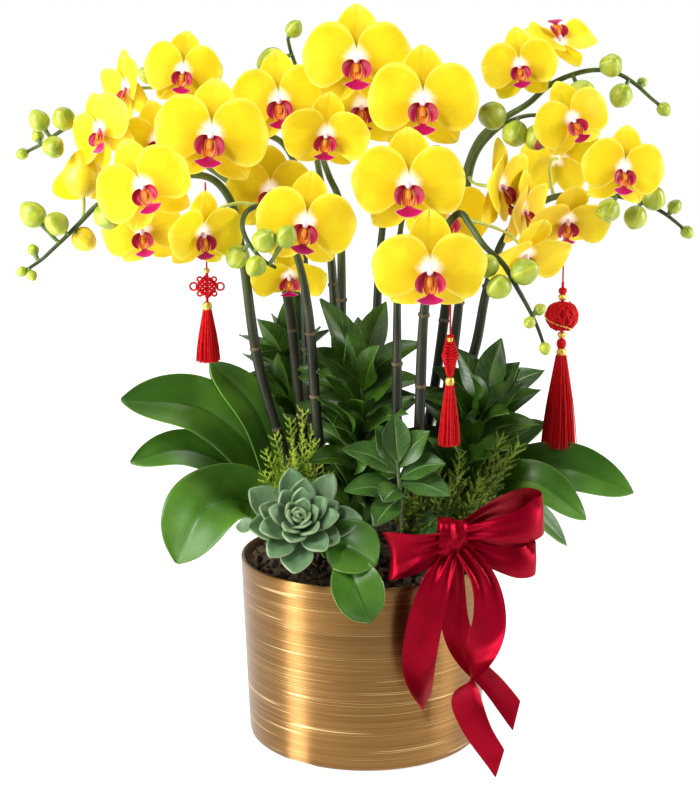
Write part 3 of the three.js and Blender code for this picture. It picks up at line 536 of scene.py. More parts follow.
def laurel_finish(name, dark, light, vein_colour, roughness):
    """A thin leaf with a pale midrib and side veins that slant towards its tip."""
    paint = Paint(name)
    side, along = paint.grid()
    patch = paint.noise(45, detail=4)
    green = paint.mix(patch.from_to(0.35, 0.65), dark, light)
    slant = ((along * 9 - side.size() * 2.2) * math.pi).wave().size().from_to(0.16, 0.0)
    veins = (slant * 0.35).math("MAXIMUM", side.size().from_to(0.09, 0.0) * 0.8)
    veined = paint.mix(veins, green, vein_colour)
    relief = paint.bump(veins * -1 + patch * 0.5, 0.5, 0.0008)
    return paint.done(Base_Color=veined, Roughness=patch * 0.2 + roughness, Normal=relief,
                      Specular_IOR_Level=0.35)


def rosette_finish():
    """A dusty blue-green leaf with a thin pale edge and a pale point."""
    paint = Paint("rosette_leaf")
    side, along = paint.grid()
    patch = paint.noise(70, detail=4)
    body = paint.mix(patch.from_to(0.35, 0.65), (0.085, 0.18, 0.075), (0.15, 0.26, 0.12))
    young = paint.mix(along.from_to(0.45, 0.0) * 0.5, body, (0.1, 0.24, 0.1))
    edge = side.size().from_to(0.96, 1.0).math("MAXIMUM", along.from_to(0.97, 1.0))
    tipped = paint.mix(edge * 0.32, young, (0.5, 0.5, 0.27))
    dust = paint.bump(paint.noise(700), 0.3, 0.0004)
    return paint.done(Base_Color=tipped, Roughness=patch * 0.15 + 0.5, Normal=dust)


SPIKE = spike_finish()
SHEATH = plain_finish("sheath", (0.13, 0.09, 0.035), (0.04, 0.03, 0.012), 300, 0.6, 0.0004)
PEDICEL = plain_finish("pedicel", (0.34, 0.44, 0.06), (0.5, 0.52, 0.09), 120, 0.35, 0.0003)
BUD = bud_finish("bud", (0.25, 0.34, 0.018), (0.42, 0.47, 0.035), (0.62, 0.62, 0.07))
YELLOW_BUD = bud_finish("yellow_bud", (0.8, 0.56, 0.006), (0.88, 0.68, 0.012), (0.6, 0.56, 0.03))
MOUTH = plain_finish("bud_mouth", (0.3, 0.01, 0.02), (0.2, 0.09, 0.02), 240, 0.4, 0.0004)
BUD_STALK = plain_finish("bud_stalk", (0.07, 0.13, 0.02), (0.13, 0.2, 0.03), 120, 0.35, 0.0003)
ORCHID_LEAF = orchid_leaf_finish()
LAUREL_DARK = laurel_finish("leafy_stem_leaf", (0.016, 0.05, 0.003), (0.045, 0.12, 0.007), (0.14, 0.27, 0.03),
                            0.28)
LAUREL_PALE = laurel_finish("front_stem_leaf", (0.025, 0.075, 0.01), (0.055, 0.13, 0.02), (0.2, 0.36, 0.1),
                            0.22)
STEM = plain_finish("leafy_stem", (0.07, 0.13, 0.03), (0.12, 0.15, 0.05), 150, 0.5, 0.0004)
SPRIG = plain_finish("sprig_leaf", (0.24, 0.38, 0.02), (0.48, 0.6, 0.05), 80, 0.45, 0.0002)
MOSS = plain_finish("moss_leaf", (0.09, 0.16, 0.01), (0.26, 0.36, 0.03), 80, 0.55, 0.0002)
ROSETTE_LEAF = rosette_finish()
BARK = plain_finish("bark", (0.03, 0.017, 0.009), (0.11, 0.06, 0.03), 90, 0.75, 0.0015)

# %% [markdown]
# ## Metal, ribbon and thread
# The pot's foil is brushed round and round, so its highlights stretch into upright bands. Scratches in a bump
# alone would need very many samples for that, and an anisotropic shader gives the bands at once, so the bump
# adds only single lines, which are also painted brighter as glints. Satin shines like a soft metal, and is
# made as a tinted one. Silk thread is rougher.


# %% Gold, satin and silk
def brushed_gold():
    """Gold foil brushed round the pot: fine level lines, and thin rings that come and go, painted bright as
    glints.
    """
    paint = Paint("brushed_gold")
    brushing = paint.noise(1, stretch=(7, 7, 1700), detail=2)
    bands = paint.noise(1, stretch=(3, 3, 260), detail=4)
    worn = brushing * 0.7 + bands * 0.3
    gold = paint.mix(worn.from_to(0.36, 0.64), (0.19, 0.098, 0.03), (0.285, 0.153, 0.051))
    crests = (paint.noise(1, stretch=(1.2, 1.2, 140), detail=1) - 0.5).size().from_to(0.009, 0.0)
    glint_rings = crests * paint.noise(1, stretch=(9, 9, 60), detail=1).from_to(0.4, 0.56)
    # Painted highlight: along these thin rings the gold turns much brighter, as glints of light.
    bright = paint.mix(glint_rings * 0.7, gold, (0.95, 0.7, 0.34))
    relief = paint.bump(worn + glint_rings * 0.8, 0.3, 0.0003)
    return paint.done(Base_Color=bright, Metallic=1.0, Roughness=worn * 0.12 + 0.3, Normal=relief,
                      Anisotropic=0.8, Anisotropic_Rotation=0.25)


def satin():
    """Crimson satin: a smooth face with a bright sheen and threads that run along the ribbon."""
    paint = Paint("satin")
    side, along = paint.grid()
    patch = paint.noise(28, detail=3)
    red = paint.mix(patch.from_to(0.3, 0.7), (0.22, 0.0, 0.008), (0.3, 0.0, 0.014))
    selvedge = paint.mix(side.size().from_to(0.93, 0.97) * 0.35, red, (0.22, 0.0, 0.01))
    threads = (side * 260).wave() * 0.4 + paint.noise(1500) * 0.6
    weave = paint.bump(threads, 0.22, 0.0002)
    return paint.done(Base_Color=selvedge, Roughness=patch * 0.1 + 0.24, Normal=weave, Metallic=0.65,
                      Specular_IOR_Level=0.25, Specular_Tint=(1, 0.4, 0.45, 1))


def floor_finish():
    """Plain white behind the pot, darker before it, and brightest to its left, as under a window."""
    paint = Paint("floor")
    sideways, forwards, _ = paint.parts(paint.place())
    grain = paint.noise(2)
    shade = paint.mix(grain, (0.6, 0.6, 0.6), (0.59, 0.59, 0.59))
    lit = paint.mix(forwards.from_to(-0.42, -0.15), (0.1, 0.1, 0.1), (0.76, 0.76, 0.76))
    lit = paint.mix(forwards.from_to(0.1, 1.6), lit, (0.97, 0.97, 0.97))
    ray = (forwards + 0.07) / sideways
    wedge = ray.from_to(0.14, 0.3) * ray.from_to(0.62, 0.44) * sideways.from_to(-0.02, -0.09)
    lit = paint.mix(wedge, lit, (5.5, 5.5, 5.5))
    return paint.done(Base_Color=shade, Roughness=0.7, Normal=paint.bump(grain, 0.2, 0.0001),
                      Emission_Color=lit, Emission_Strength=1.0)


SATIN = satin()
POT_GOLD = brushed_gold()
SILK = plain_finish("silk", (0.58, 0.0, 0.003), (0.4, 0.0, 0.002), 400, 0.5, 0.0004, Specular_IOR_Level=0.15)
GOLD_THREAD = plain_finish("gold_thread", (0.85, 0.55, 0.12), (0.62, 0.36, 0.06), 600, 0.25, 0.0003,
                           Metallic=0.9)
FLOOR = floor_finish()

# %% [markdown]
# ## The floor
# What a metal pot shows is mostly its surroundings. The floor is a pale disc that lights itself: dimmer in
# front of the pot, where the room would be, and brighter on the left, as under a window. What the camera sees
# of it is plain white.

# %% A pale floor
floor = settled(added(bpy.ops.mesh.primitive_circle_add, "floor", vertices=96, radius=6, fill_type="NGON"))
painted(floor, FLOOR)
floor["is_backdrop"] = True

# %% [markdown]
# ## Tassels and their cords
# Three silk tassels hang from the spikes on thin red cords. Each cord has a real length, which the script
# prints. Each cord is a tube that hangs straight, since the tassel's weight pulls it taut.

# %% Turned shapes
CORD_THICKNESS = 1.6 * MM


def ring_stack(name, sides, stations):
    """A turned shape: a disc is extruded upwards and resized at each station of (height, radius)."""
    height, radius = stations[0]
    disc = added(bpy.ops.mesh.primitive_circle_add, name, vertices=sides, radius=radius, fill_type="NGON",
                 location=(0, 0, height))
    settled(disc)
    bpy.ops.object.mode_set(mode="EDIT")
    bpy.ops.mesh.select_all(action="SELECT")
    for height_next, radius_next in stations[1:]:
        bpy.ops.mesh.extrude_region_move(TRANSFORM_OT_translate={"value": (0, 0, height_next - height)})
        share = radius_next / radius
        bpy.ops.transform.resize(value=(share, share, 1), center_override=(0, 0, height_next))
        height, radius = height_next, radius_next
    bpy.ops.mesh.select_all(action="SELECT")
    bpy.ops.mesh.normals_make_consistent(inside=False)
    bpy.ops.object.mode_set(mode="OBJECT")
    return smooth(disc)


# %% Knots, beads and skirts
BALL_FLECKS = 64


def skirt(name, top, foot, top_radius, foot_radius, strands):
    """Silk threads under a cap: each is a thin rod that leans from the inner ring to the outer one."""
    random.seed(strands)
    rod = added(bpy.ops.mesh.primitive_cylinder_add, "rod", vertices=5, radius=0.45 * MM, depth=1,
                location=(0, 0, 0.5))
    settled(rod)
    bpy.ops.object.mode_set(mode="EDIT")
    for height in (0.25, 0.5, 0.75):
        bpy.ops.mesh.select_all(action="SELECT")
        bpy.ops.mesh.bisect(plane_co=(0, 0, height), plane_no=(0, 0, 1))
    bpy.ops.object.mode_set(mode="OBJECT")
    threads = []
    for i in range(strands):
        share = math.sqrt((i + 0.5) / strands)
        angle = i * GOLDEN_ANGLE + random.uniform(-0.1, 0.1)
        ray = Vector((math.cos(angle), math.sin(angle), 0))
        a = top + ray * top_radius * share
        spread = foot_radius * share * random.uniform(0.92, 1.04)
        b = foot + ray * spread + Vector((0, 0, random.uniform(0, 2) * MM))
        lean = Matrix.LocRotScale(b, (a - b).to_track_quat("Z", "Y"), (1, 1, (a - b).length))
        threads.append(copied(rod, lean))
    bpy.data.objects.remove(rod)
    whole = painted(joined(name, threads), SILK)
    for vertex in whole.data.vertices:
        t = (top.z - vertex.co.z) / (top.z - foot.z)
        out = 1 + 0.12 * math.sin(math.pi * min(max(t, 0), 1))
        vertex.co.x = top.x + (vertex.co.x - top.x) * out
        vertex.co.y = top.y + (vertex.co.y - top.y) * out
    return smooth(whole, 60)


def bead(name, middle, radius, height, material, ribs=0):
    """A bead, or a ribbed cap, turned about the cord."""
    half = height / 2
    stations = [(-half, 0.35 * radius), (-half * 0.8, 0.8 * radius), (-half * 0.3, radius),
                (half * 0.3, radius), (half * 0.8, 0.8 * radius), (half, 0.35 * radius)]
    turned = ring_stack(name, 24, stations)
    for vertex in turned.data.vertices:
        if ribs:
            wave = 1 + 0.06 * math.cos(ribs * math.atan2(vertex.co.y, vertex.co.x))
            vertex.co.x *= wave
            vertex.co.y *= wave
        vertex.co += middle
    modified(turned, "SUBSURF", levels=1, render_levels=1)
    return painted(smooth(turned), material)


def serpentine(rows, pitch, reach, lift, parity):
    """A cord that runs to and fro in level rows, and weaves in and out as it goes."""
    spots = []
    for row in range(rows):
        height = (row - (rows - 1) / 2) * pitch
        steps = range(-2 * rows, 2 * rows + 1)
        for step in steps if row % 2 == 0 else reversed(steps):
            along = step / (2 * rows) * reach
            weave = math.cos(math.pi * (along / pitch + row + parity))
            spots.append(Vector((along, lift * weave, height)))
    return spots


def plaited_knot(name, middle):
    """A square of woven cords set on its point, with an ear at each side and one below."""
    pitch = 3 * MM
    turn = Quaternion((0, 1, 0), math.radians(45))
    across = Quaternion((0, 1, 0), math.radians(-45))
    strands = []
    for parity, spin in enumerate((turn, across)):
        route = [middle + spin @ p for p in serpentine(5, pitch, 7.4 * MM, 1.1 * MM, parity)]
        strands.append(tube(name, Line(route, 2).points, 1.15 * MM, 6))
    for x, z in ((-12, 0), (12, 0), (-6.5, 6.5), (6.5, 6.5), (-6.5, -6.5), (6.5, -6.5)):
        size = 3.4 if z == 0 else 2.1
        centre = middle + Vector((x, 0, z)) * MM
        loop = [centre + Vector((math.cos(a), 0.2 * math.sin(2 * a), math.sin(a))) * size * MM
                for a in np.linspace(0, 2 * math.pi, 17)]
        strands.append(tube(name, loop, 0.95 * MM, 6))
    return painted(joined(name, strands), SILK)


def slim_knot(name, middle):
    """Cords crossed again and again into a lozenge, with a gold bead over it."""
    strands = []
    for phase in (0, math.pi / 2, math.pi, 3 * math.pi / 2):
        route = []
        for t in np.linspace(0, 1, 61):
            angle = 7 * math.pi * t + phase
            reach = (2 + 4.6 * (1 - abs(2 * t - 1))) * MM
            height = (0.5 - t) * 36 * MM
            route.append(middle + Vector((math.sin(angle) * reach, math.sin(2 * angle) * 1.4 * MM, height)))
        strands.append(tube(name, route, 1.05 * MM, 6))
    return painted(joined(name, strands), SILK)


def on_ball(lon, lat):
    """The place at this longitude and latitude of a slightly flattened ball, 1 in radius."""
    return Vector((math.cos(lon) * math.cos(lat), math.sin(lon) * math.cos(lat), 0.92 * math.sin(lat)))


def woven_ball(name, middle, radius):
    """One long cord wound round a ball over and under itself, with gold flecks among its turns."""
    core = added(bpy.ops.mesh.primitive_uv_sphere_add, name, segments=32, ring_count=16, radius=radius * 0.88,
                 location=middle)
    strands = [painted(settled(core), SILK)]
    route = []
    for t in np.linspace(0, 2 * math.pi, 421):
        lon = 7 * t
        lat = math.radians(64) * math.sin(12 * t)
        out = radius * (0.9 + 0.035 * math.sin(24 * t + 3 * lon))
        route.append(middle + on_ball(lon, lat) * out)
    strands.append(painted(tube(name, route, 1.25 * MM, 6), SILK))
    for i in range(BALL_FLECKS):
        lat = math.radians(-66 + 132 * ((i * 0.618) % 1))
        spot = middle + on_ball(i * GOLDEN_ANGLE, lat) * radius
        fleck = added(bpy.ops.mesh.primitive_ico_sphere_add, name, subdivisions=1, radius=0.9 * MM,
                      location=spot)
        strands.append(painted(settled(fleck), GOLD_THREAD))
    return smooth(joined(name, strands), 60)


# %% The three tassels
TASSELS = {
    "left": {"skirt": (10.5, 4.6), "bead": 4.4, "strands": 150},
    "middle": {"skirt": (9.5, 4.2), "bead": 4.2, "strands": 150},
    "right": {"skirt": (16.5, 6), "bead": 4.8, "strands": 280},
}
BALL_RADIUS = 16 * MM
SKIRT_SHARE = 0.56  # the skirt's share of the ornament's drop
CORD_FOOT = 57 * MM  # each cord runs on through its ornament, and ends in the skirt this far above its foot

for name, plan in TASSELS.items():
    low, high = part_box(f"tassel_{name}")
    cord_low, cord_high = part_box(f"tassel_cord_{name}")
    x, y = (cord_low.x + cord_high.x) / 2, (cord_low.y + cord_high.y) / 2

    def on_cord(height):
        return Vector((x, y, height))

    drop = high.z - low.z
    skirt_top = low.z + SKIRT_SHARE * drop
    foot_radius, top_radius = plan["skirt"]
    parts = [
        skirt(f"tassel_dress_{name}", on_cord(skirt_top), on_cord(low.z), top_radius * MM * 0.8,
              foot_radius * MM, plan["strands"]),
        bead("cap", on_cord(skirt_top + 3 * MM), plan["bead"] * MM, 9 * MM, GOLD_THREAD, 12),
    ]
    if name == "right":
        middle = on_cord((high.z + skirt_top + 5 * MM) / 2)
        edge = BALL_RADIUS * 0.92
        parts.append(woven_ball("ball", middle, BALL_RADIUS))
        beads = [(edge + 3 * MM, GOLD_THREAD), (edge + 9 * MM, SILK), (-edge - 3 * MM, GOLD_THREAD)]
        for offset, material in beads:
            parts.append(bead("bead", middle + Vector((0, 0, offset)), 4 * MM, 6.5 * MM, material, 8))
        parts.append(bead("red_cap", on_cord(skirt_top + 11 * MM), 4.6 * MM, 10 * MM, SILK, 12))
    elif name == "left":
        parts.append(plaited_knot("knot", on_cord(skirt_top + 21 * MM)))
        parts.append(bead("bead", on_cord(high.z - 2.5 * MM), 3 * MM, 5 * MM, GOLD_THREAD))
    else:
        parts.append(slim_knot("knot", on_cord(skirt_top + 26 * MM)))
        parts.append(bead("bead", on_cord(high.z - 2.5 * MM), 3.2 * MM, 5 * MM, GOLD_THREAD))
    core = [on_cord(z) for z in np.linspace(skirt_top, high.z, 8)]
    parts.append(painted(tube("core", core, 1.3 * MM, 8), SILK))
    ornament = handed_in(joined(f"tassel_dress_{name}", parts), "silk", f"tassel_{name}")
    cord_foot = low.z + CORD_FOOT
    route = [on_cord(z) for z in np.linspace(cord_high.z, cord_foot, 17)]
    cord = painted(tube(f"silk_cord_{name}", route, CORD_THICKNESS / 2), SILK)
    handed_in(cord, "silk", f"tassel_cord_{name}")
    print("tassel", name, "cord mm:", round((cord_high.z - cord_foot) / MM), "drop mm:", round(drop / MM))

# %% [markdown]
# ## The pot
# A real pot of this kind is a spun or pressed metal shell. Its outline could be turned with the Spin
# operator. Here a disc is extruded up the outer wall, over the rim and down inside, one station at a time,
# the way a spinner follows a former, because each height and radius then stays in plain sight.

# %% Brushed gold pot
POT_OUTSIDE = [(0, 98), (0, 106), (0.8, 109.6), (3, 112), (8, 113), (30, 113.9), (100, 116.8), (170, 119.6),
               (176, 119.9), (177.6, 119.3)]
POT_INSIDE_WALL = [(178, 118.2), (177.4, 117), (175, 116.4), (168, 115.8)]

pot_shell = ring_stack("gold_pot", 160, [(z * MM, r * MM) for z, r in POT_OUTSIDE + POT_INSIDE_WALL])
print("pot faces:", len(pot_shell.data.polygons))
painted(pot_shell, POT_GOLD)
handed_in(pot_shell, "gold_pot", "pot")

# %% [markdown]
# ## Bark
# Orchids are planted in coarse bark. A particle system could strew it, but copies that a loop places come
# out the same each time. One chip is shaped from a cube, and copies of it lie at random angles all over the
# mound, close enough to hide the filling under them.


# %% Bark chips
def mound_height(radius):
    return through([(0, 196), (50, 190), (92, 178), (115, 165)], radius)


CHIPS = 420
random.seed(7)
chip = added(bpy.ops.mesh.primitive_cube_add, "chip", size=1)
modified(chip, "BEVEL", width=0.16, segments=1)
chips = []
for i in range(CHIPS):
    radius = 108 * math.sqrt((i + 0.5) / CHIPS)
    angle = i * GOLDEN_ANGLE
    height = mound_height(radius) + random.uniform(-1, 2)
    place = Vector((radius * math.cos(angle), radius * math.sin(angle), height))
    axis = (random.uniform(-1, 1), random.uniform(-1, 1), random.uniform(-3, 3))
    turn = Quaternion(axis, random.uniform(0, 3))
    size = Vector((random.uniform(7, 15), random.uniform(5, 10), random.uniform(2.5, 5)))
    chips.append(copied(chip, Matrix.LocRotScale(place * MM, turn, size * MM)))
bpy.data.objects.remove(chip)
bark = painted(joined("bark_chips", chips), BARK)
handed_in(smooth(bark, 30), "bark")
painted(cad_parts["growing_medium"], BARK)
print("bark chips:", CHIPS, "faces:", len(bark.data.polygons))

# %% [markdown]
# ## One moth orchid bloom
# Three sepals stand behind two round petals. The lip below the column has two side lobes that curl up round
# it and a middle lobe that ends like an anchor. Sculpting would give each its own charm, but a grid and a
# formula keep the whole plant of one kind. One bloom is modelled flat open and one half closed, 100 mm wide,
# facing up, and every bloom of the plant is a copy with its own ruffle.

# %% Tepals
# Half widths in millimetres at each share of the length. A petal is wider above its axis than below it.
PETAL_UPPER = [(0, 5), (0.05, 14), (0.13, 21.5), (0.27, 28), (0.45, 31), (0.64, 29.5), (0.8, 24),
               (0.92, 14.5), (1, 3)]
PETAL_LOWER = [(0, 3), (0.08, 9), (0.2, 17.5), (0.36, 25), (0.54, 29), (0.7, 28), (0.85, 22),
               (0.94, 13.5), (1, 3)]
SEPAL_WIDTHS = [(0, 3.5), (0.1, 8), (0.3, 15.5), (0.5, 18.5), (0.7, 17), (0.86, 11.5), (0.95, 6.2), (1, 1.6)]
LATERAL_WIDTHS = [(0, 3), (0.1, 8), (0.3, 15.5), (0.5, 17.5), (0.7, 15.5), (0.88, 9), (0.96, 4.6), (1, 1)]


def tepal(name, length, above, below, base, heading, lift, bend, cup, ruffle):
    """One petal or sepal: it starts over the column, lifts, bends back at the tip and is ruffled at its edge.
    above and below are its half widths on its upper and its lower side."""
    upper_side = 1 if heading > 90 else -1

    def place(side, t):
        half = through(above if side * upper_side > 0 else below, t)
        wavy = ruffle * math.sin(7 * t + 3 * side) * side * side * min(1, 3 * t)
        groove = 0.9 * math.exp(-((side / 0.12) ** 2)) * t
        height = cup * half * side * side - bend * t * t + lift * t + wavy - groove
        return Vector((side * half, length * t, height)) * MM

    leaf = grown(name, 14, 16, place)
    turn = Matrix.Rotation(math.radians(heading - 90), 4, "Z")
    leaf.data.transform(Matrix.Translation(Vector((0, 0, base)) * MM) @ turn)
    return painted(thickened(leaf, 0.55 * MM), PETAL)


def lip_lobe(name, material, line, widths, face, cup, swept=0.0, thickness=0.6):
    """A lobe of the lip along a line, with its face towards a point and its corners swept back."""
    path = Line([Vector(p) * MM for p in line])

    def place(side, t):
        heading = path.heading(t)
        across = heading.cross(Vector(face) * MM - path.at(t)).normalized()
        up = across.cross(heading).normalized()
        half = through(widths, t) * MM
        back = heading * (swept * half * side * side)
        return path.at(t) + across * side * half + up * cup * side * side * half - back

    return painted(thickened(grown(name, 8, 12, place), thickness * MM), material)


def column():
    """The rounded column with its cap, from a sphere drawn out and tilted forwards."""
    knob = added(bpy.ops.mesh.primitive_uv_sphere_add, "column", segments=20, ring_count=12, radius=1)
    for vertex in knob.data.vertices:
        x, y, z = vertex.co
        waist = 1 - 0.25 * max(0, -z)
        vertex.co = Vector((3.1 * x * waist, 3.4 * y * waist - 1.2 * z - 0.6, 5.4 * z + 4.6)) * MM
    return painted(smooth(knob), COLUMN)


def bud_master(finish):
    egg = added(bpy.ops.mesh.primitive_uv_sphere_add, "bud", segments=24, ring_count=14, radius=0.5)
    for vertex in egg.data.vertices:
        x, y, z = vertex.co
        seam = abs(math.cos(1.5 * math.atan2(y, x))) ** 10
        t = z + 0.5
        full = (1.06 - 0.1 * seam * math.sin(math.pi * t)) * (1.05 - 0.22 * t * t)
        vertex.co = Vector((x * full, y * full, z * 1.12 + 0.05 * t ** 8))
    return painted(smooth(egg, 60), finish)


def bloom_master(name, closing):
    """closing is 0 for a flat open bloom and 1 for one whose petals still lean forwards."""
    lean = 26 * closing
    lateral = (LATERAL_WIDTHS, LATERAL_WIDTHS, -1.8)
    petal = (PETAL_UPPER, PETAL_LOWER)
    lobes = [
        tepal("dorsal", 50, SEPAL_WIDTHS, SEPAL_WIDTHS, -1.6, 90, -2 + lean * 0.6, 6 - lean * 0.2, 0.05, 0.8),
        tepal("lateral", 48, *lateral, 229, -2 + lean * 0.5, 7, 0.06, 0.7),
        tepal("lateral", 48, *lateral, 311, -2 + lean * 0.5, 7, 0.06, 0.7),
        tepal("petal", 50, *petal, 1.2, 6, 5 + lean, 8, 0.07 + 0.3 * closing, 1.3),
        tepal("petal", 50, *petal, 1.9, 174, 5 + lean, 8, 0.07 + 0.3 * closing, 1.3),
    ]
    for side in (-1, 1):
        wing = [(2.6 * side, -1.5, 5), (7.4 * side, -3.8, 9), (10 * side, -8.8, 11.5),
                (9.4 * side, -14, 12.6), (6.8 * side, -17.5, 12.6)]
        widths = [(0, 1.2), (0.25, 3.2), (0.55, 4.4), (0.82, 2.8), (1, 0.6)]
        lobes.append(lip_lobe("wing", LIP_WING, wing, widths, (0, -10, 40), 0.3))
    throat = [(0, -2, 4), (0, -8, 7.5), (0, -15, 10.5), (0, -21, 12.5)]
    widths = [(0, 2.4), (0.3, 6), (0.7, 6), (1, 2.6)]
    lobes.append(lip_lobe("throat", THROAT, throat, widths, (0, -2, 60), 0.3))
    callus = [(0, -5, 8), (0, -9, 11.5), (0, -12.5, 12.5)]
    widths = [(0, 1.8), (0.5, 2.6), (1, 1)]
    lobes.append(lip_lobe("callus", THROAT, callus, widths, (0, 5, 60), -0.4, thickness=2.2))
    tip = [(0, -18.5, 12.6), (0, -22, 13.8), (0, -26, 13.6), (0, -28.5, 12.8)]
    widths = [(0, 2.4), (0.2, 3.6), (0.4, 7.4), (0.58, 11.6), (0.7, 12.4), (0.84, 8.6), (1, 5)]
    lobes.append(lip_lobe("tip", LIP_TIP, tip, widths, (0, -10, 60), 0.14, 0.2, 0.9))
    lobes.append(column())
    whole = joined(name, lobes)
    print(name, "faces:", len(whole.data.polygons))
    return whole


OPEN_BLOOM = bloom_master("open_bloom", 0.0)
CUPPED_BLOOM = bloom_master("cupped_bloom", 0.45)

# %% [markdown]
# ## Every bloom in its place
# The blooms face the viewer at their own angles, as the spikes arch to both sides. Each copy is scaled to
# its width, ruffled by its own noise, turned, and set where its solid is.

# %% Bloom placing
# Places and widths are in millimetres and angles in degrees: turn is to the viewer's right, tilt is upwards.
# Each bloom: its spike, the place of its column, its width, and how it is turned, tilted and rolled.
BLOOMS = {
    "crown": ("centre_left", (-9, -42, 642), 98, 0, 0, 0),
    "upper_centre": ("centre_right", (48, -76, 605), 98, 0, 0, 0),
    "centre": ("centre_front", (35, -112, 536), 98, 0, 0, 0),
    "inner_left": ("left_front", (-53, -116, 503), 88, 0, -4, 8),
    "lowest": ("front_right", (52, -152, 468), 98, 0, -15, 0),
    "left_upper": ("upper_left", (-136, -76, 577), 100, 0, 0, 5),
    "left_middle": ("left_low", (-192, -110, 534), 86, -4, 0, -25),
    "high_left": ("upper_left", (-79, -18, 606), 90, 0, 0, -5),
    "throat_left": ("centre_left", (-36, -66, 578), 78, 0, -20, 5),
    "nodding_left": ("left_front", (-70, -50, 452), 70, 5, -40, 0),
    "side_left": ("left_front", (-142, -122, 495), 74, 35, -12, 0),
    "top_left": ("upper_left", (-165, -22, 632), 72, 0, 0, 5),
    "far_left_top": ("upper_left", (-222, 38, 617), 76, -55, 0, -20),
    "far_left": ("left_high", (-236, -50, 580), 76, -38, 0, -30),
    "behind_left": ("left_high", (-189, -26, 571), 72, 0, -5, -10),
    "under_left": ("left_low", (-198, -72, 493), 76, -5, -10, -10),
    "opening_left": ("left_low", (-257, -30, 524), 60, 0, 80, 0),
    "behind_inner": ("left_high", (-86, -46, 526), 82, 0, 0, 0),
    "high_right": ("right_high", (135, -50, 636), 68, -8, 0, -8),
    "upturned": ("right_high", (174, -8, 658), 70, 24, 50, 175),
    "right_upper": ("right_middle", (178, -78, 590), 70, 15, -5, -22),
    "right_outer": ("right_low", (221, -94, 548), 75, 10, 0, 8),
    "right_nodding": ("right_low", (179, -54, 502), 78, 12, -35, 0),
    "right_inner": ("front_right", (138, -90, 475), 84, 28, -42, 0),
    "behind_centre": ("crown_tip", (-4, 18, 600), 86, 0, 0, 0),
    "behind_right": ("right_low", (180, 30, 552), 84, 150, 0, 0),
    "behind_lower": ("right_middle", (74, -30, 503), 80, 0, -5, 0),
    "pair_front": ("right_middle", (117, -60, 531), 86, 60, 0, 0),
    "pair_back": ("right_low", (140, -38, 508), 76, 60, -5, 0),
}
CUPPED = ("nodding_left", "throat_left", "upturned", "right_nodding", "right_inner", "side_left",
          "behind_right", "pair_front", "pair_back", "far_left_top")


def facing(turn, tilt, roll):
    """The turn that carries a bloom from its own frame, facing up with its top at +Y, to its place."""
    about = [((0, 0, 1), turn), ((1, 0, 0), 90 - tilt), ((0, 0, 1), -roll)]
    whole = Quaternion()
    for axis, degrees in about:
        whole = whole @ Quaternion(axis, math.radians(degrees))
    return whole


def bloom_copy(name, number):
    _, at, width, turn, tilt, roll = BLOOMS[name]
    twin = copied(CUPPED_BLOOM if name in CUPPED else OPEN_BLOOM, Matrix.Identity(4))
    shift = Vector((number * 1.7, number * 0.9, 0))
    for vertex in twin.data.vertices:
        reach = vertex.co.xy.length / (50 * MM)
        drift = noise.noise_vector(vertex.co * 26 + shift) * (3.2 * MM * min(reach, 1))
        vertex.co += drift * Vector((0.8, 0.8, 1))
    place = Matrix.LocRotScale(Vector(at) * MM, facing(turn, tilt, roll), Vector((1, 1, 1)) * width / 100)
    twin.data.transform(place)
    return twin


def opening_bloom(name):
    """A bloom that is about to open: a fat yellow bud with two petals behind it."""
    at = Vector(BLOOMS[name][1]) * MM
    egg = bud_master(YELLOW_BUD)
    egg.data.transform(Matrix.LocRotScale(at + Vector((0, 0, 16)) * MM, None, Vector((33, 31, 37)) * MM))
    parts = [egg]
    for heading, back in ((62, 12), (124, 15)):
        petal = tepal("petal", 44, PETAL_UPPER, PETAL_LOWER, 0, heading, 8, 10, 0.12, 1.3)
        spot = at + Vector((0, back, -6)) * MM
        petal.data.transform(Matrix.LocRotScale(spot, facing(0, 0, 0), Vector((0.75, 0.75, 0.75))))
        parts.append(petal)
    return joined(name, parts)


noise.seed_set(9)  # without a seed, the noise differs from run to run
pair = []
for number, name in enumerate(BLOOMS):
    bloom = opening_bloom(name) if name == "opening_left" else bloom_copy(name, number)
    if name.startswith("pair"):
        pair.append(bloom)
        continue
    bloom.name = f"orchid_{name}"
    handed_in(bloom, "petals", f"bloom_{name}")
handed_in(joined("orchid_right_pair", pair), "petals", "bloom_right_pair")
for master in (OPEN_BLOOM, CUPPED_BLOOM):
    bpy.data.objects.remove(master)
print("blooms:", len(BLOOMS))

# %% [markdown]
# ## Spikes and buds
# A spike is one smooth stalk that thins towards its tip. Blooms and buds hang from it on short green stalks,
# and dry papery sheaths ring its lower joints. A bevelled curve suits it better than a row of cylinders,
# because it has no joints and keeps its radius at every stop. The bud is a sphere drawn into an egg with
# three seams.

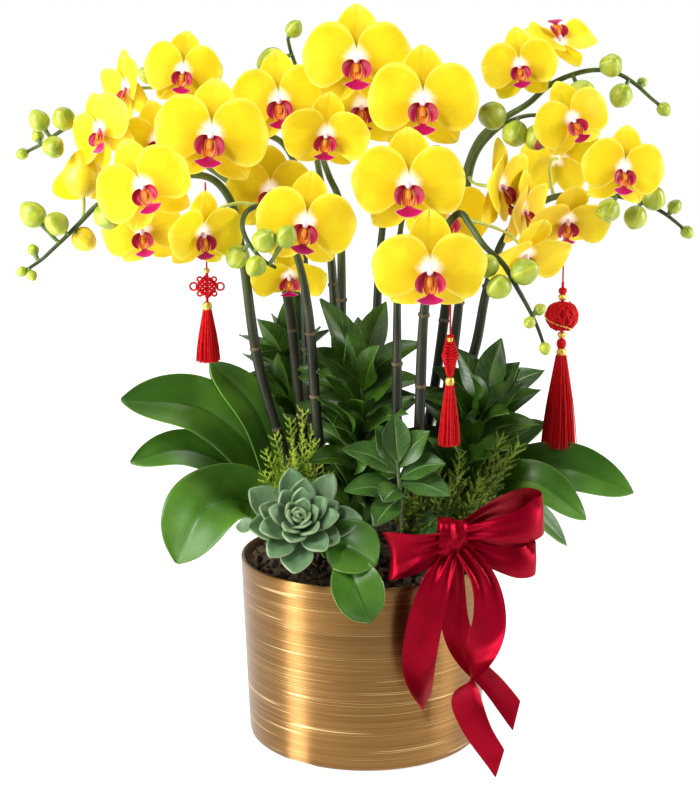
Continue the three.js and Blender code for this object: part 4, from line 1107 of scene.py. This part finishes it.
# %% Spike layout
# Each spike: its centreline from the pot to its tip, and its buds as (x, y, z, width).
SPIKES = {
    "left_high": (
        [
            (-46, -10, 200), (-62, -20, 330), (-72, -20, 424), (-89, -17, 484), (-104, -18, 511),
            (-124, -18, 532), (-160, -5, 556), (-198, 8, 578), (-228, 2, 587), (-254, -12, 589),
            (-275, -18, 580), (-293, -20, 568), (-309, -20, 560),
        ],
        [
            (-296, -24, 588, 18), (-273, -28, 590, 20), (-279, -50, 565, 19), (-300, -12, 574, 11),
            (-313, -20, 558, 10),
        ],
    ),
    "left_low": (
        [
            (-50, -30, 200), (-92, -46, 341), (-101, -48, 382), (-110, -50, 455), (-114, -52, 482),
            (-121, -56, 517), (-137, -56, 537), (-160, -52, 541), (-194, -50, 535), (-221, -50, 525),
            (-241, -54, 514), (-255, -56, 500), (-267, -58, 488), (-280, -60, 476), (-291, -60, 466),
            (-303, -60, 458),
        ],
        [
            (-298, -58, 506, 22), (-275, -70, 499, 20), (-254, -50, 483, 21), (-226, -94, 507, 23),
            (-300, -52, 474, 10), (-299, -66, 452, 9), (-309, -60, 455, 9),
        ],
    ),
    "upper_left": (
        [
            (-36, 8, 200), (-53, 2, 326), (-57, 2, 422), (-61, 5, 515), (-66, 10, 547), (-78, 15, 567),
            (-95, 18, 576), (-125, 16, 590), (-160, 12, 608), (-182, 6, 622), (-194, 0, 627),
        ],
        [
            (-199, -2, 629, 16),
        ],
    ),
    "crown_tip": (
        [
            (-22, 30, 200), (-26, 32, 313), (-34, 38, 467), (-48, 40, 560), (-60, 34, 611), (-65, 24, 636),
            (-70, 14, 652), (-72, 8, 662),
        ],
        [
            (-66, 4, 670, 15), (-87, 14, 641, 24),
        ],
    ),
    "left_front": (
        [
            (-35, -47, 200), (-46, -62, 330), (-53, -76, 429), (-64, -84, 478), (-80, -90, 506),
            (-93, -98, 516), (-104, -110, 512), (-107, -120, 501), (-103, -126, 490), (-96, -130, 480),
            (-88, -131, 472), (-78, -131, 466),
        ],
        [
            (-87, -143, 491, 20), (-69, -143, 494, 18), (-112, -116, 474, 20), (-95, -136, 468, 17),
        ],
    ),
    "centre_left": (
        [
            (-13, -26, 200), (-22, -30, 323), (-23, -32, 472), (-25, -34, 518), (-34, -33, 539),
            (-40, -28, 558), (-38, -14, 582), (-28, -4, 606), (-17, 0, 628), (-12, 0, 646),
        ],
        [
            (-10, -2, 656, 12),
        ],
    ),
    "centre_right": (
        [
            (5, 3, 200), (8, 0, 320), (14, -6, 480), (24, -14, 540), (38, -24, 575), (52, -30, 600),
            (62, -30, 620),
        ],
        [
            (66, -30, 630, 13),
        ],
    ),
    "centre_front": (
        [
            (24, -56, 200), (27, -78, 323), (27, -82, 440), (29, -78, 490), (34, -74, 515), (44, -70, 540),
            (54, -66, 554),
        ],
        [
            (60, -64, 561, 12),
        ],
    ),
    "right_high": (
        [
            (45, 16, 200), (68, 26, 345), (77, 30, 416), (88, 25, 513), (105, 12, 570), (127, 0, 590),
            (147, -10, 603), (165, -15, 619), (186, -20, 629), (208, -20, 633), (228, -20, 629),
            (243, -20, 620), (257, -20, 608), (266, -20, 601),
        ],
        [
            (218, -34, 637, 20), (228, -30, 610, 20), (190, -50, 611, 24), (250, -12, 622, 9),
            (269, -20, 598, 12),
        ],
    ),
    "right_middle": (
        [
            (53, -14, 200), (78, -2, 345), (87, 0, 418), (92, -5, 515), (99, -14, 555), (112, -26, 575),
            (129, -34, 588), (146, -40, 593), (160, -44, 592), (170, -46, 588),
        ],
        [
            (111, -48, 593, 24), (130, -66, 577, 22), (149, -68, 574, 22),
        ],
    ),
    "right_low": (
        [
            (67, 10, 200), (97, 18, 345), (106, 20, 380), (115, 22, 430), (130, 20, 477), (150, 10, 502),
            (169, 0, 516), (187, -12, 521), (207, -28, 522), (228, -40, 521), (252, -45, 514),
            (268, -45, 506), (280, -45, 497), (286, -45, 492),
        ],
        [
            (214, -66, 510, 20), (240, -56, 503, 20), (257, -52, 520, 20), (277, -45, 512, 12),
            (289, -45, 489, 11),
        ],
    ),
    "front_right": (
        [
            (44, -70, 200), (47, -92, 331), (50, -112, 431), (59, -114, 480), (70, -110, 503),
            (80, -108, 511), (88, -116, 501), (100, -128, 484), (115, -134, 470), (127, -134, 450),
            (138, -132, 431), (146, -130, 415), (151, -128, 402),
        ],
        [
            (101, -136, 468, 19), (111, -142, 451, 20), (133, -140, 464, 22), (148, -128, 430, 10),
            (138, -138, 420, 10), (153, -128, 396, 10),
        ],
    ),
}

SPIKE_FOOT = 190
SPIKE_RADIUS = 4.8 * MM
SPIKE_TIP_RADIUS = 1.5 * MM
SHEATH_HEIGHTS = (0.09, 0.22, 0.36, 0.5)
HALF_OPEN = [(190, -50, 611), (149, -68, 574), (-87, 14, 641)]  # buds that have begun to open
YELLOW = [(-254, -50, 483)]  # a bud that has its petals' colour already


# %% Spikes
def bud_at(master, root, middle, width):
    """The bud with its stalk, pointing away from the spike."""
    axis = (middle - root).normalized()
    turn = axis.to_track_quat("Z", "Y")
    egg = copied(master, Matrix.LocRotScale(middle, turn, Vector((1, 1, 1)) * width))
    foot = middle - axis * width * 0.5
    route = []
    for t in np.linspace(0, 1.05, 6):
        route.append(root.lerp(foot, t) + Vector((0, 0, -0.6 * MM * math.sin(math.pi * t))))
    radii = [r * MM for r in (1.9, 1.9, 1.9, 2.1, 2.3, 2.8)]
    return [egg, painted(tube("bud_stalk", route, radii, 8), BUD_STALK)]


def red_mouth(middle, width):
    """The crimson inside of a half-open bud, which shows low on the side that faces the viewer."""
    lens = added(bpy.ops.mesh.primitive_uv_sphere_add, "mouth", segments=20, ring_count=12, radius=1)
    lens.data.transform(Matrix.Diagonal((0.24 * width, 0.16 * width, 0.36 * width, 1)))
    place = middle + Vector((0.08, -0.42, -0.14)) * width
    lens.data.transform(Matrix.Translation(place) @ Matrix.Rotation(math.radians(28), 4, "Y"))
    return painted(smooth(lens), MOUTH)


def pedicel(line, name):
    """The stalk of a bloom: it leaves the spike and meets the back of the bloom square on."""
    _, at, width, turn, tilt, roll = BLOOMS[name]
    face = facing(turn, tilt, roll)

    def behind(distance):
        return Vector(at) * MM + face @ Vector((0, 0, -distance * MM))

    bend = BENT_PEDICELS.get(name, {})
    root = line.at(line.nearest(Vector(bend["root"]) * MM if "root" in bend else behind(34)))
    approach = behind(bend.get("approach", 26))
    over = Vector(bend["over"]) * MM if "over" in bend else root.lerp(approach, 0.6)
    back = behind(0.03 * width)
    route = []
    for t in np.linspace(0, 1, 13):
        s = 1 - t
        route.append(root * s ** 3 + over * 3 * s * s * t + approach * 3 * s * t * t + back * t ** 3)
    radii = [(1.9 - 0.5 * math.sin(math.pi * t)) * MM for t in np.linspace(0, 1, 13)]
    return painted(tube("pedicel", route, radii, 8), PEDICEL)


def sheath(line, t):
    """A papery bract: a short cuff that clasps the spike above a swollen joint."""
    heading = line.heading(t).to_track_quat("Z", "Y")
    r = SPIKE_RADIUS / MM
    stations = [(-1.2, r * 0.9), (-0.8, r * 1.05), (0.2, r * 1.14), (1, r * 1.1), (2.2, r * 1.04),
                (2.3, r * 0.9)]
    cuff = ring_stack("sheath", 14, [(z * MM, radius * MM) for z, radius in stations])
    cuff.data.transform(Matrix.LocRotScale(line.at(t), heading, None))
    return painted(cuff, SHEATH)


BENT_PEDICELS = {
    "nodding_left": {"root": (-78, -90, 504)},
    "side_left": {"root": (-90, -96, 514), "over": (-128, -98, 530), "approach": 10},
}
BUD_MASTER = bud_master(BUD)
for name, (path, buds) in SPIKES.items():
    foot = (path[0][0], path[0][1], SPIKE_FOOT)
    line = Line([Vector(p) * MM for p in [foot, *path]])
    stops = np.linspace(0, 1, 140)
    radii = [SPIKE_RADIUS + (SPIKE_TIP_RADIUS - SPIKE_RADIUS) * max(0, (t - 0.4) / 0.6) for t in stops]
    parts = [painted(tube("rod", [line.at(t) for t in stops], radii, 12), SPIKE)]
    parts += [sheath(line, t) for t in SHEATH_HEIGHTS]
    parts += [pedicel(line, bloom) for bloom in BLOOMS if BLOOMS[bloom][0] == name]
    for x, y, z, width in buds:
        middle = Vector((x, y, z)) * MM
        egg, stalk = bud_at(BUD_MASTER, line.at(line.nearest(middle)), middle, width * MM)
        parts += [painted(egg, YELLOW_BUD) if (x, y, z) in YELLOW else egg, stalk]
        if (x, y, z) in HALF_OPEN:
            parts.append(red_mouth(middle, width * MM))
    handed_in(joined(f"flower_spike_{name}", parts), "flower_spikes", f"spike_{name}")
bpy.data.objects.remove(BUD_MASTER)
print("spikes:", len(SPIKES), "buds:", sum(len(buds) for _, buds in SPIKES.values()))

# %% [markdown]
# ## Broad orchid leaves
# An orchid leaf is thick and waxy, folded along its midrib, and arches over the rim. A box with a subdivision
# modifier would have to be pulled into shape by hand, leaf by leaf. A grid along the midrib's line needs only
# that line, a width and the side it faces, and gets a groove down the middle and slightly raised edges.

# %% Orchid leaves
# Each fan: where its crown is, and its leaves as (half width, the way the face looks, the midrib's places).
FANS = {
    "left": (
        (-80, -18),
        [
            (29, (0.1, -0.8, 0.6), [(-98, -30, 272), (-153, -45, 328), (-224, -60, 338)]),
            (21, (0, -0.7, 0.7), [(-104, -22, 250), (-168, -34, 286), (-218, -50, 277)]),
            (36, (-0.3, -0.9, 0.4), [(-108, -52, 240), (-142, -104, 250), (-168, -130, 204)]),
            (22, (0.5, -0.8, 0.3), [(-84, -26, 262), (-103, -28, 322), (-145, -30, 368)]),
            (20, (0.3, -0.7, 0.6), [(-86, 4, 256), (-116, 14, 318), (-150, 24, 356)]),
        ],
    ),
    "right": (
        (84, 4),
        [
            (25, (0, -0.75, 0.65), [(120, -12, 248), (182, -30, 268), (250, -40, 246)]),
            (19, (0.1, -0.8, 0.6), [(108, -22, 240), (152, -56, 262), (202, -70, 228)]),
            (17, (0.2, -0.4, 0.9), [(118, 8, 222), (160, 12, 214), (196, 12, 180)]),
            (18, (0, -0.7, 0.7), [(100, 20, 238), (140, 32, 280), (176, 34, 298)]),
        ],
    ),
    "front": (
        (-18, -84),
        [
            (26, (0.1, -0.85, 0.5), [(-38, -98, 208), (-20, -113, 216), (9, -127, 202)]),
            (23, (0, -0.85, 0.5), [(-20, -108, 206), (-10, -134, 186), (4, -142, 154)]),
        ],
    ),
    "back": (
        (4, 74),
        [
            (27, (0.1, 0.5, 0.8), [(42, 98, 250), (86, 140, 284), (130, 176, 262)]),
            (27, (0, 0.6, 0.8), [(3, 106, 258), (-4, 160, 290), (-10, 214, 258)]),
            (24, (-0.2, 0.4, 0.9), [(-38, 94, 236), (-84, 132, 290), (-136, 160, 278)]),
        ],
    ),
}

LEAF_FOOT = 194
ORCHID_LEAF_WIDTHS = [(0, 0.26), (0.12, 0.44), (0.34, 0.8), (0.6, 1), (0.78, 0.93), (0.9, 0.64), (0.96, 0.36),
                      (1, 0.03)]
FRONT_LEAF_WIDTHS = [(0, 0.2), (0.3, 0.3), (0.5, 0.8), (0.68, 1), (0.84, 0.84), (0.94, 0.5), (1, 0.03)]


def leaf_on(name, path, half, widths, faces, cup, groove, wave, cells):
    """A leaf along a line of places, whose upper face looks as nearly as it can towards faces."""
    line = Line([Vector(p) * MM for p in path])
    faces = Vector(faces)

    def place(side, t):
        heading = line.heading(t)
        across = heading.cross(faces).normalized()
        up = across.cross(heading).normalized()
        wide = half * through(widths, t) * MM
        sunk = groove * MM * math.exp(-((side / 0.13) ** 2)) * min(1, 4 * (1 - t))
        lift = cup * wide * abs(side) ** 1.5 - sunk + wave * MM * math.sin(6 * t + 2 * side) * side * side
        return line.at(t) + across * side * wide + up * lift

    return grown(name, *cells, place)


for name, (crown, leaves) in FANS.items():
    blades = []
    for half, faces, rib in leaves:
        path = [(*crown, LEAF_FOOT), *rib]
        widths = FRONT_LEAF_WIDTHS if name == "front" else ORCHID_LEAF_WIDTHS
        blade = leaf_on("leaf", path, half, widths, faces, 0.19, 2.2, 1.5, (14, 30))
        blades.append(painted(thickened(blade, 2 * MM), ORCHID_LEAF))
    handed_in(joined(f"broad_leaves_{name}", blades), "orchid_leaves", f"orchid_leaves_{name}")
print("broad leaves:", sum(len(leaves) for _, leaves in FANS.values()))

# %% [markdown]
# ## Leafy stems
# Upright stems with lance-shaped, veined leaves fill the middle. The leaves that the solids have come first.
# More are added up the stem in a spiral, because the real stems are leafy all the way.

# %% Leafy stems
# Each stem: foot, top, half width of a leaf, the side that its leaves face, and its leaves as (share of the
# stem, tip).
LEAFY_STEMS = {
    "front": (
        (32, -97), (27, -102, 292), 13, -0.7,
        [
            (1, 24, -98, 333), (0.95, 8, -98, 322), (0.9, -22, -104, 302), (0.95, 56, -102, 318),
            (0.85, 70, -110, 290), (0.75, 14, -122, 258), (0.7, -20, -112, 266), (0.8, 74, -116, 262),
            (0.65, 6, -122, 236),
        ],
    ),
    "middle": (
        (-4, -52), (-4, -46, 366), 14, -0.7,
        [
            (1, 18, -28, 424), (0.95, -18, -60, 400), (0.95, -42, -54, 430), (0.8, -62, -42, 356),
            (0.65, -30, -74, 318), (0.9, -8, 2, 405), (0.75, 28, -34, 340), (0.6, 8, -84, 300),
        ],
    ),
    "right": (
        (84, -40), (110, -32, 332), 14, -0.7,
        [
            (1, 84, -30, 380), (1, 125, -26, 390), (0.95, 142, -30, 368), (0.9, 172, 30, 350),
            (0.8, 166, 36, 330), (0.8, 62, -32, 342), (0.7, 134, -44, 304), (0.9, 112, 6, 356),
        ],
    ),
    "back": (
        (-62, 40), (-76, 42, 360), 14, 0.5,
        [
            (1, -104, 30, 400), (0.9, -108, 10, 366), (1, -66, 38, 430), (0.8, -122, 48, 340),
            (0.9, -60, 86, 392), (0.75, -36, 70, 350), (0.65, -110, 78, 312), (0.95, -92, 66, 400),
        ],
    ),
}

LANCE_WIDTHS = [(0, 0.1), (0.12, 0.4), (0.35, 0.9), (0.52, 1), (0.72, 0.78), (0.88, 0.4), (0.96, 0.16),
                (1, 0.04)]
EXTRA_LEAVES = {"front": 1, "middle": 48, "right": 52, "back": 66}
LOW_LEAVES = [  # the root and the tip of each leaf that fills a gap near the rim
    ((62, -20, 212), (12, -28, 242)), ((-2, -12, 222), (-48, -22, 264)), ((20, -8, 206), (58, -22, 240)),
]
STEM_FOOT = 192
STEM_BEND = 228  # the stems rise straight up to here


def lance(root, tip, half, faces):
    middle = root.lerp(tip, 0.5) + Vector((0, 0, (tip - root).length * 0.1))
    path = [p / MM for p in (root, middle, tip)]
    blade = leaf_on("leaf", path, half, LANCE_WIDTHS, (0, faces, 0.7), 0.26, 0.9, 1.0, (8, 16))
    return smooth(thickened(blade, 0.7 * MM, 0), 75)


for name, (foot, top, half, faces, leaves) in LEAFY_STEMS.items():
    random.seed(len(name))
    finish = LAUREL_PALE if name == "front" else LAUREL_DARK
    line = Line([Vector(p) * MM for p in [(*foot, STEM_FOOT), (*foot, STEM_BEND), top]])
    stops = np.linspace(0, 1, 16)
    parts = [painted(tube("stem", [line.at(t) for t in stops], [(2.5 - t) * MM for t in stops], 8), STEM)]
    for share, *tip in leaves:
        parts.append(painted(lance(line.at(share * 0.97), Vector(tip) * MM, half, faces), finish))
    for i in range(EXTRA_LEAVES[name]):
        share = 0.12 + 0.82 * i / EXTRA_LEAVES[name]
        angle = i * GOLDEN_ANGLE
        root = line.at(share)
        reach = random.uniform(50, 74) * MM
        out = Vector((math.cos(angle), 0.75 * math.sin(angle), random.uniform(0.2, 1.1)))
        out = out.normalized() * reach
        parts.append(painted(lance(root, root + out, half * random.uniform(0.74, 0.96), faces), finish))
    if name == "middle":
        for root, tip in LOW_LEAVES:
            parts.append(painted(lance(Vector(root) * MM, Vector(tip) * MM, half, faces), finish))
    handed_in(joined(f"leafy_dress_{name}", parts), "laurel_leaves", f"leafy_stem_{name}")
print("leafy stems:", len(LEAFY_STEMS))

# %% [markdown]
# ## Feathery sprigs
# Fine shoots carry hundreds of tiny pointed leaves. Modelling them one by one would take days and millions
# of faces. One leaf of a few faces is modelled, a twig is made of copies of it, and copies of the twig
# spiral up every shoot.

# %% Sprigs
# Each sprig: its root, how long a side twig is, how far the twigs turn round the shoot, in degrees from one
# to the next, how many leaves a twig has, how long they are as a share of it, how far apart the twigs stand,
# its finish, and the tips of its shoots.
SPRIGS = {
    "left": {
        "root": (-60, -50), "twig": 17, "turn": 168, "leaves": 9, "size": 0.58, "gap": 4.2,
        "finish": SPRIG, "slot": "sprig",
        "tips": [
            (-94, -78, 276), (-92, -76, 296), (-84, -66, 308), (-70, -62, 322), (-58, -63, 330),
            (-50, -62, 312), (-84, -82, 262), (-66, -78, 296), (-40, -64, 294), (-34, -62, 272),
            (-74, -80, 280), (-48, -66, 300),
        ],
    },
    "right": {
        "root": (78, -76), "twig": 24, "turn": 137.5, "leaves": 18, "size": 0.34, "gap": 2.6,
        "finish": MOSS, "slot": "moss",
        "tips": [
            (62, -86, 280), (84, -80, 292), (104, -84, 270), (122, -72, 286), (94, -97, 252), (68, -98, 246),
            (114, -94, 244), (140, -62, 298), (38, -98, 244), (30, -96, 226), (52, -98, 230), (50, -92, 262),
            (84, -98, 240), (104, -98, 240), (124, -66, 306), (44, -98, 254), (60, -97, 258), (34, -96, 262),
            (74, -96, 268), (24, -98, 242), (40, -84, 238), (52, -64, 246), (32, -76, 232), (34, -88, 256),
            (28, -86, 244), (38, -90, 248),
        ],
    },
}


def tiny_leaf():
    scale = added(bpy.ops.mesh.primitive_cone_add, "scale_leaf", vertices=4, radius1=0.5, radius2=0, depth=1,
                  location=(0, 0, 0.5))
    settled(scale)
    for vertex in scale.data.vertices:
        vertex.co.x *= 0.4
        vertex.co.y *= 0.14
    return scale


def twig_master(leaf, count, largest):
    """A side shoot of length 1 along Z: pairs of tiny leaves, shorter towards the tip."""
    parts = [tube("twig", [Vector((0, 0, t)) for t in (0, 0.5, 0.96)], [0.026, 0.022, 0.012], 6)]
    for i in range(count):
        t = 0.08 + 0.9 * i / (count - 1)
        side = Quaternion((0, 0, 1), i * 1.9) @ Vector((1, 0, 0))
        heading = (side + Vector((0, 0, 0.75 + t))).normalized().to_track_quat("Z", "Y")
        size = largest * (1 - 0.4 * t)
        parts.append(copied(leaf, Matrix.LocRotScale(Vector((0, 0, t)), heading, Vector((size, size, size)))))
    return joined("twig", parts)


def sprig(name, plan, twig):
    """Shoots that curve from one root to their tips, with twigs round each, shorter towards the tip."""
    start = Vector((*plan["root"], LEAF_FOOT)) * MM
    parts = []
    for number, tip in enumerate(plan["tips"]):
        end = Vector(tip) * MM
        line = Line([start, start.lerp(end, 0.45) + Vector((0, 0, 6 * MM)), end])
        stops = np.linspace(0, 1, 9)
        parts.append(tube("shoot", [line.at(t) for t in stops], [(1.2 - 0.8 * t) * MM for t in stops], 6))
        count = round(line.length / (plan["gap"] * MM))
        for i in range(count):
            t = 0.16 + 0.84 * i / count
            axis = line.heading(t)
            turn = math.radians(i * plan["turn"] + 40 * number)
            side = Quaternion(axis, turn) @ axis.orthogonal().normalized()
            heading = (side * random.uniform(0.7, 1) + axis).normalized().to_track_quat("Z", "Y")
            size = plan["twig"] * MM * (1.1 - 0.72 * t) * random.uniform(0.8, 1.15)
            parts.append(copied(twig, Matrix.LocRotScale(line.at(t), heading, Vector((size, size, size)))))
    dress = painted(joined(f"sprig_dress_{name}", parts), plan["finish"])
    handed_in(dress, plan["slot"], f"sprig_{name}")
    print("sprig", name, "shoots and twigs:", len(parts))


random.seed(11)
SCALE_LEAF = tiny_leaf()
for name, plan in SPRIGS.items():
    twig = twig_master(SCALE_LEAF, plan["leaves"], plan["size"])
    sprig(name, plan, twig)
    bpy.data.objects.remove(twig)
bpy.data.objects.remove(SCALE_LEAF)

# %% [markdown]
# ## The rosette
# An echeveria's leaves spiral out from the middle by the golden angle, short and upright inside, long and
# flat outside. Each is fleshy, cupped and pointed. Set one by one they would never pack so evenly, and a loop
# does it as the plant does, with a little chance in each leaf's length and heading.

# %% Echeveria
ROSETTE_HEAD = Vector((-60, -96, 229))
ROSETTE_TILT = 38
ROSETTE_LEAVES = 34
FLESHY_WIDTHS = [(0, 0.36), (0.2, 0.58), (0.46, 0.92), (0.64, 1), (0.8, 0.82), (0.9, 0.52), (0.96, 0.26),
                 (1, 0.04)]


def fleshy_leaf(length, half, lift, heading, height):
    """A spoon-shaped leaf that curls up along its length and is thick in the middle."""

    def place(side, t):
        rise = 0.2 * length * t * t
        wide = half * through(FLESHY_WIDTHS, t)
        return Vector((side * wide, length * t, rise + 0.3 * wide * side * side)) * MM

    leaf = grown("fleshy", 8, 12, place)
    thick = thickened(leaf, 3 * MM)
    turn = Matrix.Rotation(math.radians(heading - 90), 4, "Z") @ Matrix.Rotation(math.radians(lift), 4, "X")
    thick.data.transform(Matrix.Translation(Vector((0, 0, height)) * MM) @ turn)
    return thick


random.seed(5)
rosette = []
for i in range(ROSETTE_LEAVES):
    age = i / (ROSETTE_LEAVES - 1)
    heading = i * math.degrees(GOLDEN_ANGLE) + random.uniform(-10, 10)
    length = (56 - 40 * age ** 1.1) * random.uniform(0.86, 1.08)
    half = (15 - 8.6 * age) * random.uniform(0.9, 1.08)
    rosette.append(fleshy_leaf(length, half, 4 + 70 * age ** 1.2, heading, -3 + 13 * age))
stalk = ring_stack("stalk", 16, [(-12 * MM, 7 * MM), (-2 * MM, 8 * MM), (8 * MM, 6 * MM)])
rosette.append(stalk)
rosette = painted(joined("echeveria_rosette", rosette), ROSETTE_LEAF)
tilted = Matrix.Rotation(math.radians(90 - ROSETTE_TILT), 4, "X")
rosette.data.transform(Matrix.Translation(ROSETTE_HEAD * MM) @ tilted)
neck = tube("neck", [Vector((-62, -74, 190)) * MM, (ROSETTE_HEAD + Vector((0, 6, -6))) * MM], 5 * MM, 12)
painted(neck, STEM)
handed_in(joined("echeveria_rosette", [rosette, neck]), "echeveria", "echeveria")
print("rosette leaves:", ROSETTE_LEAVES)

# %% [markdown]
# ## The satin bow
# The bow is three loops and three tails of one wide ribbon, gathered at a knot. A cloth simulation could
# drape it, but it would seldom fall into the same folds twice. So each is a strip along a line with a turn
# at each place, pleated where the knot pinches it, and thickened to a third of a millimetre.

# %% Bow layout
# Places in millimetres, with how far the ribbon is turned about its line, in degrees. Each has the share of
# the ribbon's width that it shows at the knot, at its middle and at its end. A tail also has its cut: by how
# much one edge is longer than its middle.
BOW_LOOPS = [
    (
        (0.3, 1.1, 0.34),
        [
            (72, -117, 222, 0), (54, -110, 211, 10), (36, -110, 206, 10), (22, -118, 207, 8),
            (22, -131, 214, 0), (44, -137, 221, 0), (71, -128, 227, 0),
        ],
    ),
    (
        (0.3, 1.0, 0.34),
        [
            (82, -116, 232, 0), (112, -105, 248, 30), (142, -99, 252, 30), (157, -109, 246, 10),
            (144, -123, 238, 0), (112, -128, 233, 0), (82, -125, 229, 0),
        ],
    ),
    (
        (0.3, 0.8, 0.34),
        [
            (82, -117, 224, 0), (112, -110, 220, 20), (140, -107, 213, 20), (151, -115, 206, 10),
            (137, -126, 203, 0), (110, -128, 209, 0), (82, -125, 220, 0),
        ],
    ),
]
BOW_TAILS = [
    (
        (0.4, 0.84, 0.8), 0,
        [
            (74, -124, 216, 0), (63, -133, 192, 0), (51, -135, 150, 0), (46, -130, 108, -20),
            (53, -126, 73, -74),
        ],
    ),
    (
        (0.4, 0.7, 0.6), -11,
        [
            (77, -119, 214, 0), (77, -116, 182, -10), (80, -115, 142, 0), (93, -114, 112, 25),
            (115, -112, 86, 20), (137, -111, 55, 8),
        ],
    ),
    (
        (0.4, 0.86, 0.56), 10,
        [
            (84, -126, 216, 0), (103, -136, 190, 0), (108, -139, 152, 10), (98, -137, 116, 60),
            (89, -133, 88, 150), (98, -131, 53, 180), (121, -129, 15, 180),
        ],
    ),
]

BOW_KNOT = Vector((77, -120, 226))
RIBBON_WIDTH = 38


def ribbon(name, route, reach, width_at, pleats, cells, slant=0):
    """A strip along a route, with its width towards reach, folded into pleats and with a slanting end."""
    line = Line([Vector(p[:3]) * MM for p in route])
    turns = [(i / (len(route) - 1), p[3]) for i, p in enumerate(route)]
    reach = Vector(reach)

    def place(side, t):
        heading = line.heading(t)
        across = (reach - heading * reach.dot(heading)).normalized()
        across = Quaternion(heading, math.radians(through(turns, t))) @ across
        out = heading.cross(across)
        half = RIBBON_WIDTH / 2 * width_at(t) * MM
        fold = pleats(t) * math.sin(2.2 * math.pi * side + 2 * t) + 0.9 * math.sin(8 * t + 2.4 * side)
        cut = heading * slant * MM * side * t ** 6
        return line.at(t) + across * side * half + cut + out * (fold * MM + 2.2 * MM * side * side)

    strip = grown(name, *cells, place)
    area = sum(face.area for face in strip.data.polygons)
    strip = thickened(strip, 0.35 * MM, 1)
    return painted(strip, SATIN), line.length, area


def declared(strip, length, area, held):
    flat = (RIBBON_WIDTH * MM, max(length, area / (RIBBON_WIDTH * MM)) * 1.02)
    handed_in(strip, "satin")
    min(area, flat[0] * flat[1])
    print(strip.name, "flat mm:", [round(v / MM) for v in flat])


def width_along(knot, middle, end):
    shares = [(0, knot), (0.3, 0.9 * middle), (0.55, middle), (0.8, 0.4 * middle + 0.6 * end), (1, end)]
    return lambda t: through(shares, t)


for number, (shares, route) in enumerate(BOW_LOOPS):
    strip = ribbon(f"bow_loop_{number + 1}", route, (0, 0, 1), width_along(*shares),
                   lambda t: 3.0 * (1 - math.sin(math.pi * t)) ** 1.5, (18, 44))
    declared(*strip, "gathered")
for number, (shares, slant, route) in enumerate(BOW_TAILS):
    strip = ribbon(f"bow_tail_{number + 1}", route, (1, 0, 0), width_along(*shares),
                   lambda t: 3.2 * max(0, 1 - 3 * t) ** 1.5, (18, 50), slant)
    declared(*strip, "hung")


# %% The knot of the bow
def knot_wrap(name, tilt, reach, width):
    """A short length of ribbon wound once round the gathered middle."""
    route = [(BOW_KNOT.x, BOW_KNOT.y - reach[0] * math.cos(a), BOW_KNOT.z + reach[1] * math.sin(a), tilt)
             for a in np.linspace(0, 2 * math.pi, 13)]
    return ribbon(name, route, (1, 0, 0), lambda t: width, lambda t: 0.9, (18, 40))[0]


pad = added(bpy.ops.mesh.primitive_uv_sphere_add, "knot_pad", segments=24, ring_count=14, radius=1)
for vertex in pad.data.vertices:
    crease = 1 - 0.06 * math.cos(6 * math.atan2(vertex.co.z, vertex.co.y))
    vertex.co = (Vector((14.5 * vertex.co.x, 8.5 * vertex.co.y * crease, 16 * vertex.co.z)) + BOW_KNOT) * MM
knot = joined("bow_knot", [painted(smooth(pad), SATIN), knot_wrap("wrap", 16, (10.5, 17), 0.74)])
pick = tube("pick", [p * MM for p in (BOW_KNOT, Vector((71, -104, 216)), Vector((58, -92, 194)))], 1.6 * MM)
painted(pick, STEM)
handed_in(joined("bow_knot", [knot, pick]), "satin", "ribbon_bow")

# %% [markdown]
# ## The end
# The script measures the bounds of the dressed object and prints how many pieces and faces it shows.

# %% Sizes and finish
only(floor)
low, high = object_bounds()
faces = sum(len(o.data.polygons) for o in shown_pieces() if o.type == "MESH")
print("pieces:", len(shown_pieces()), "faces:", faces)
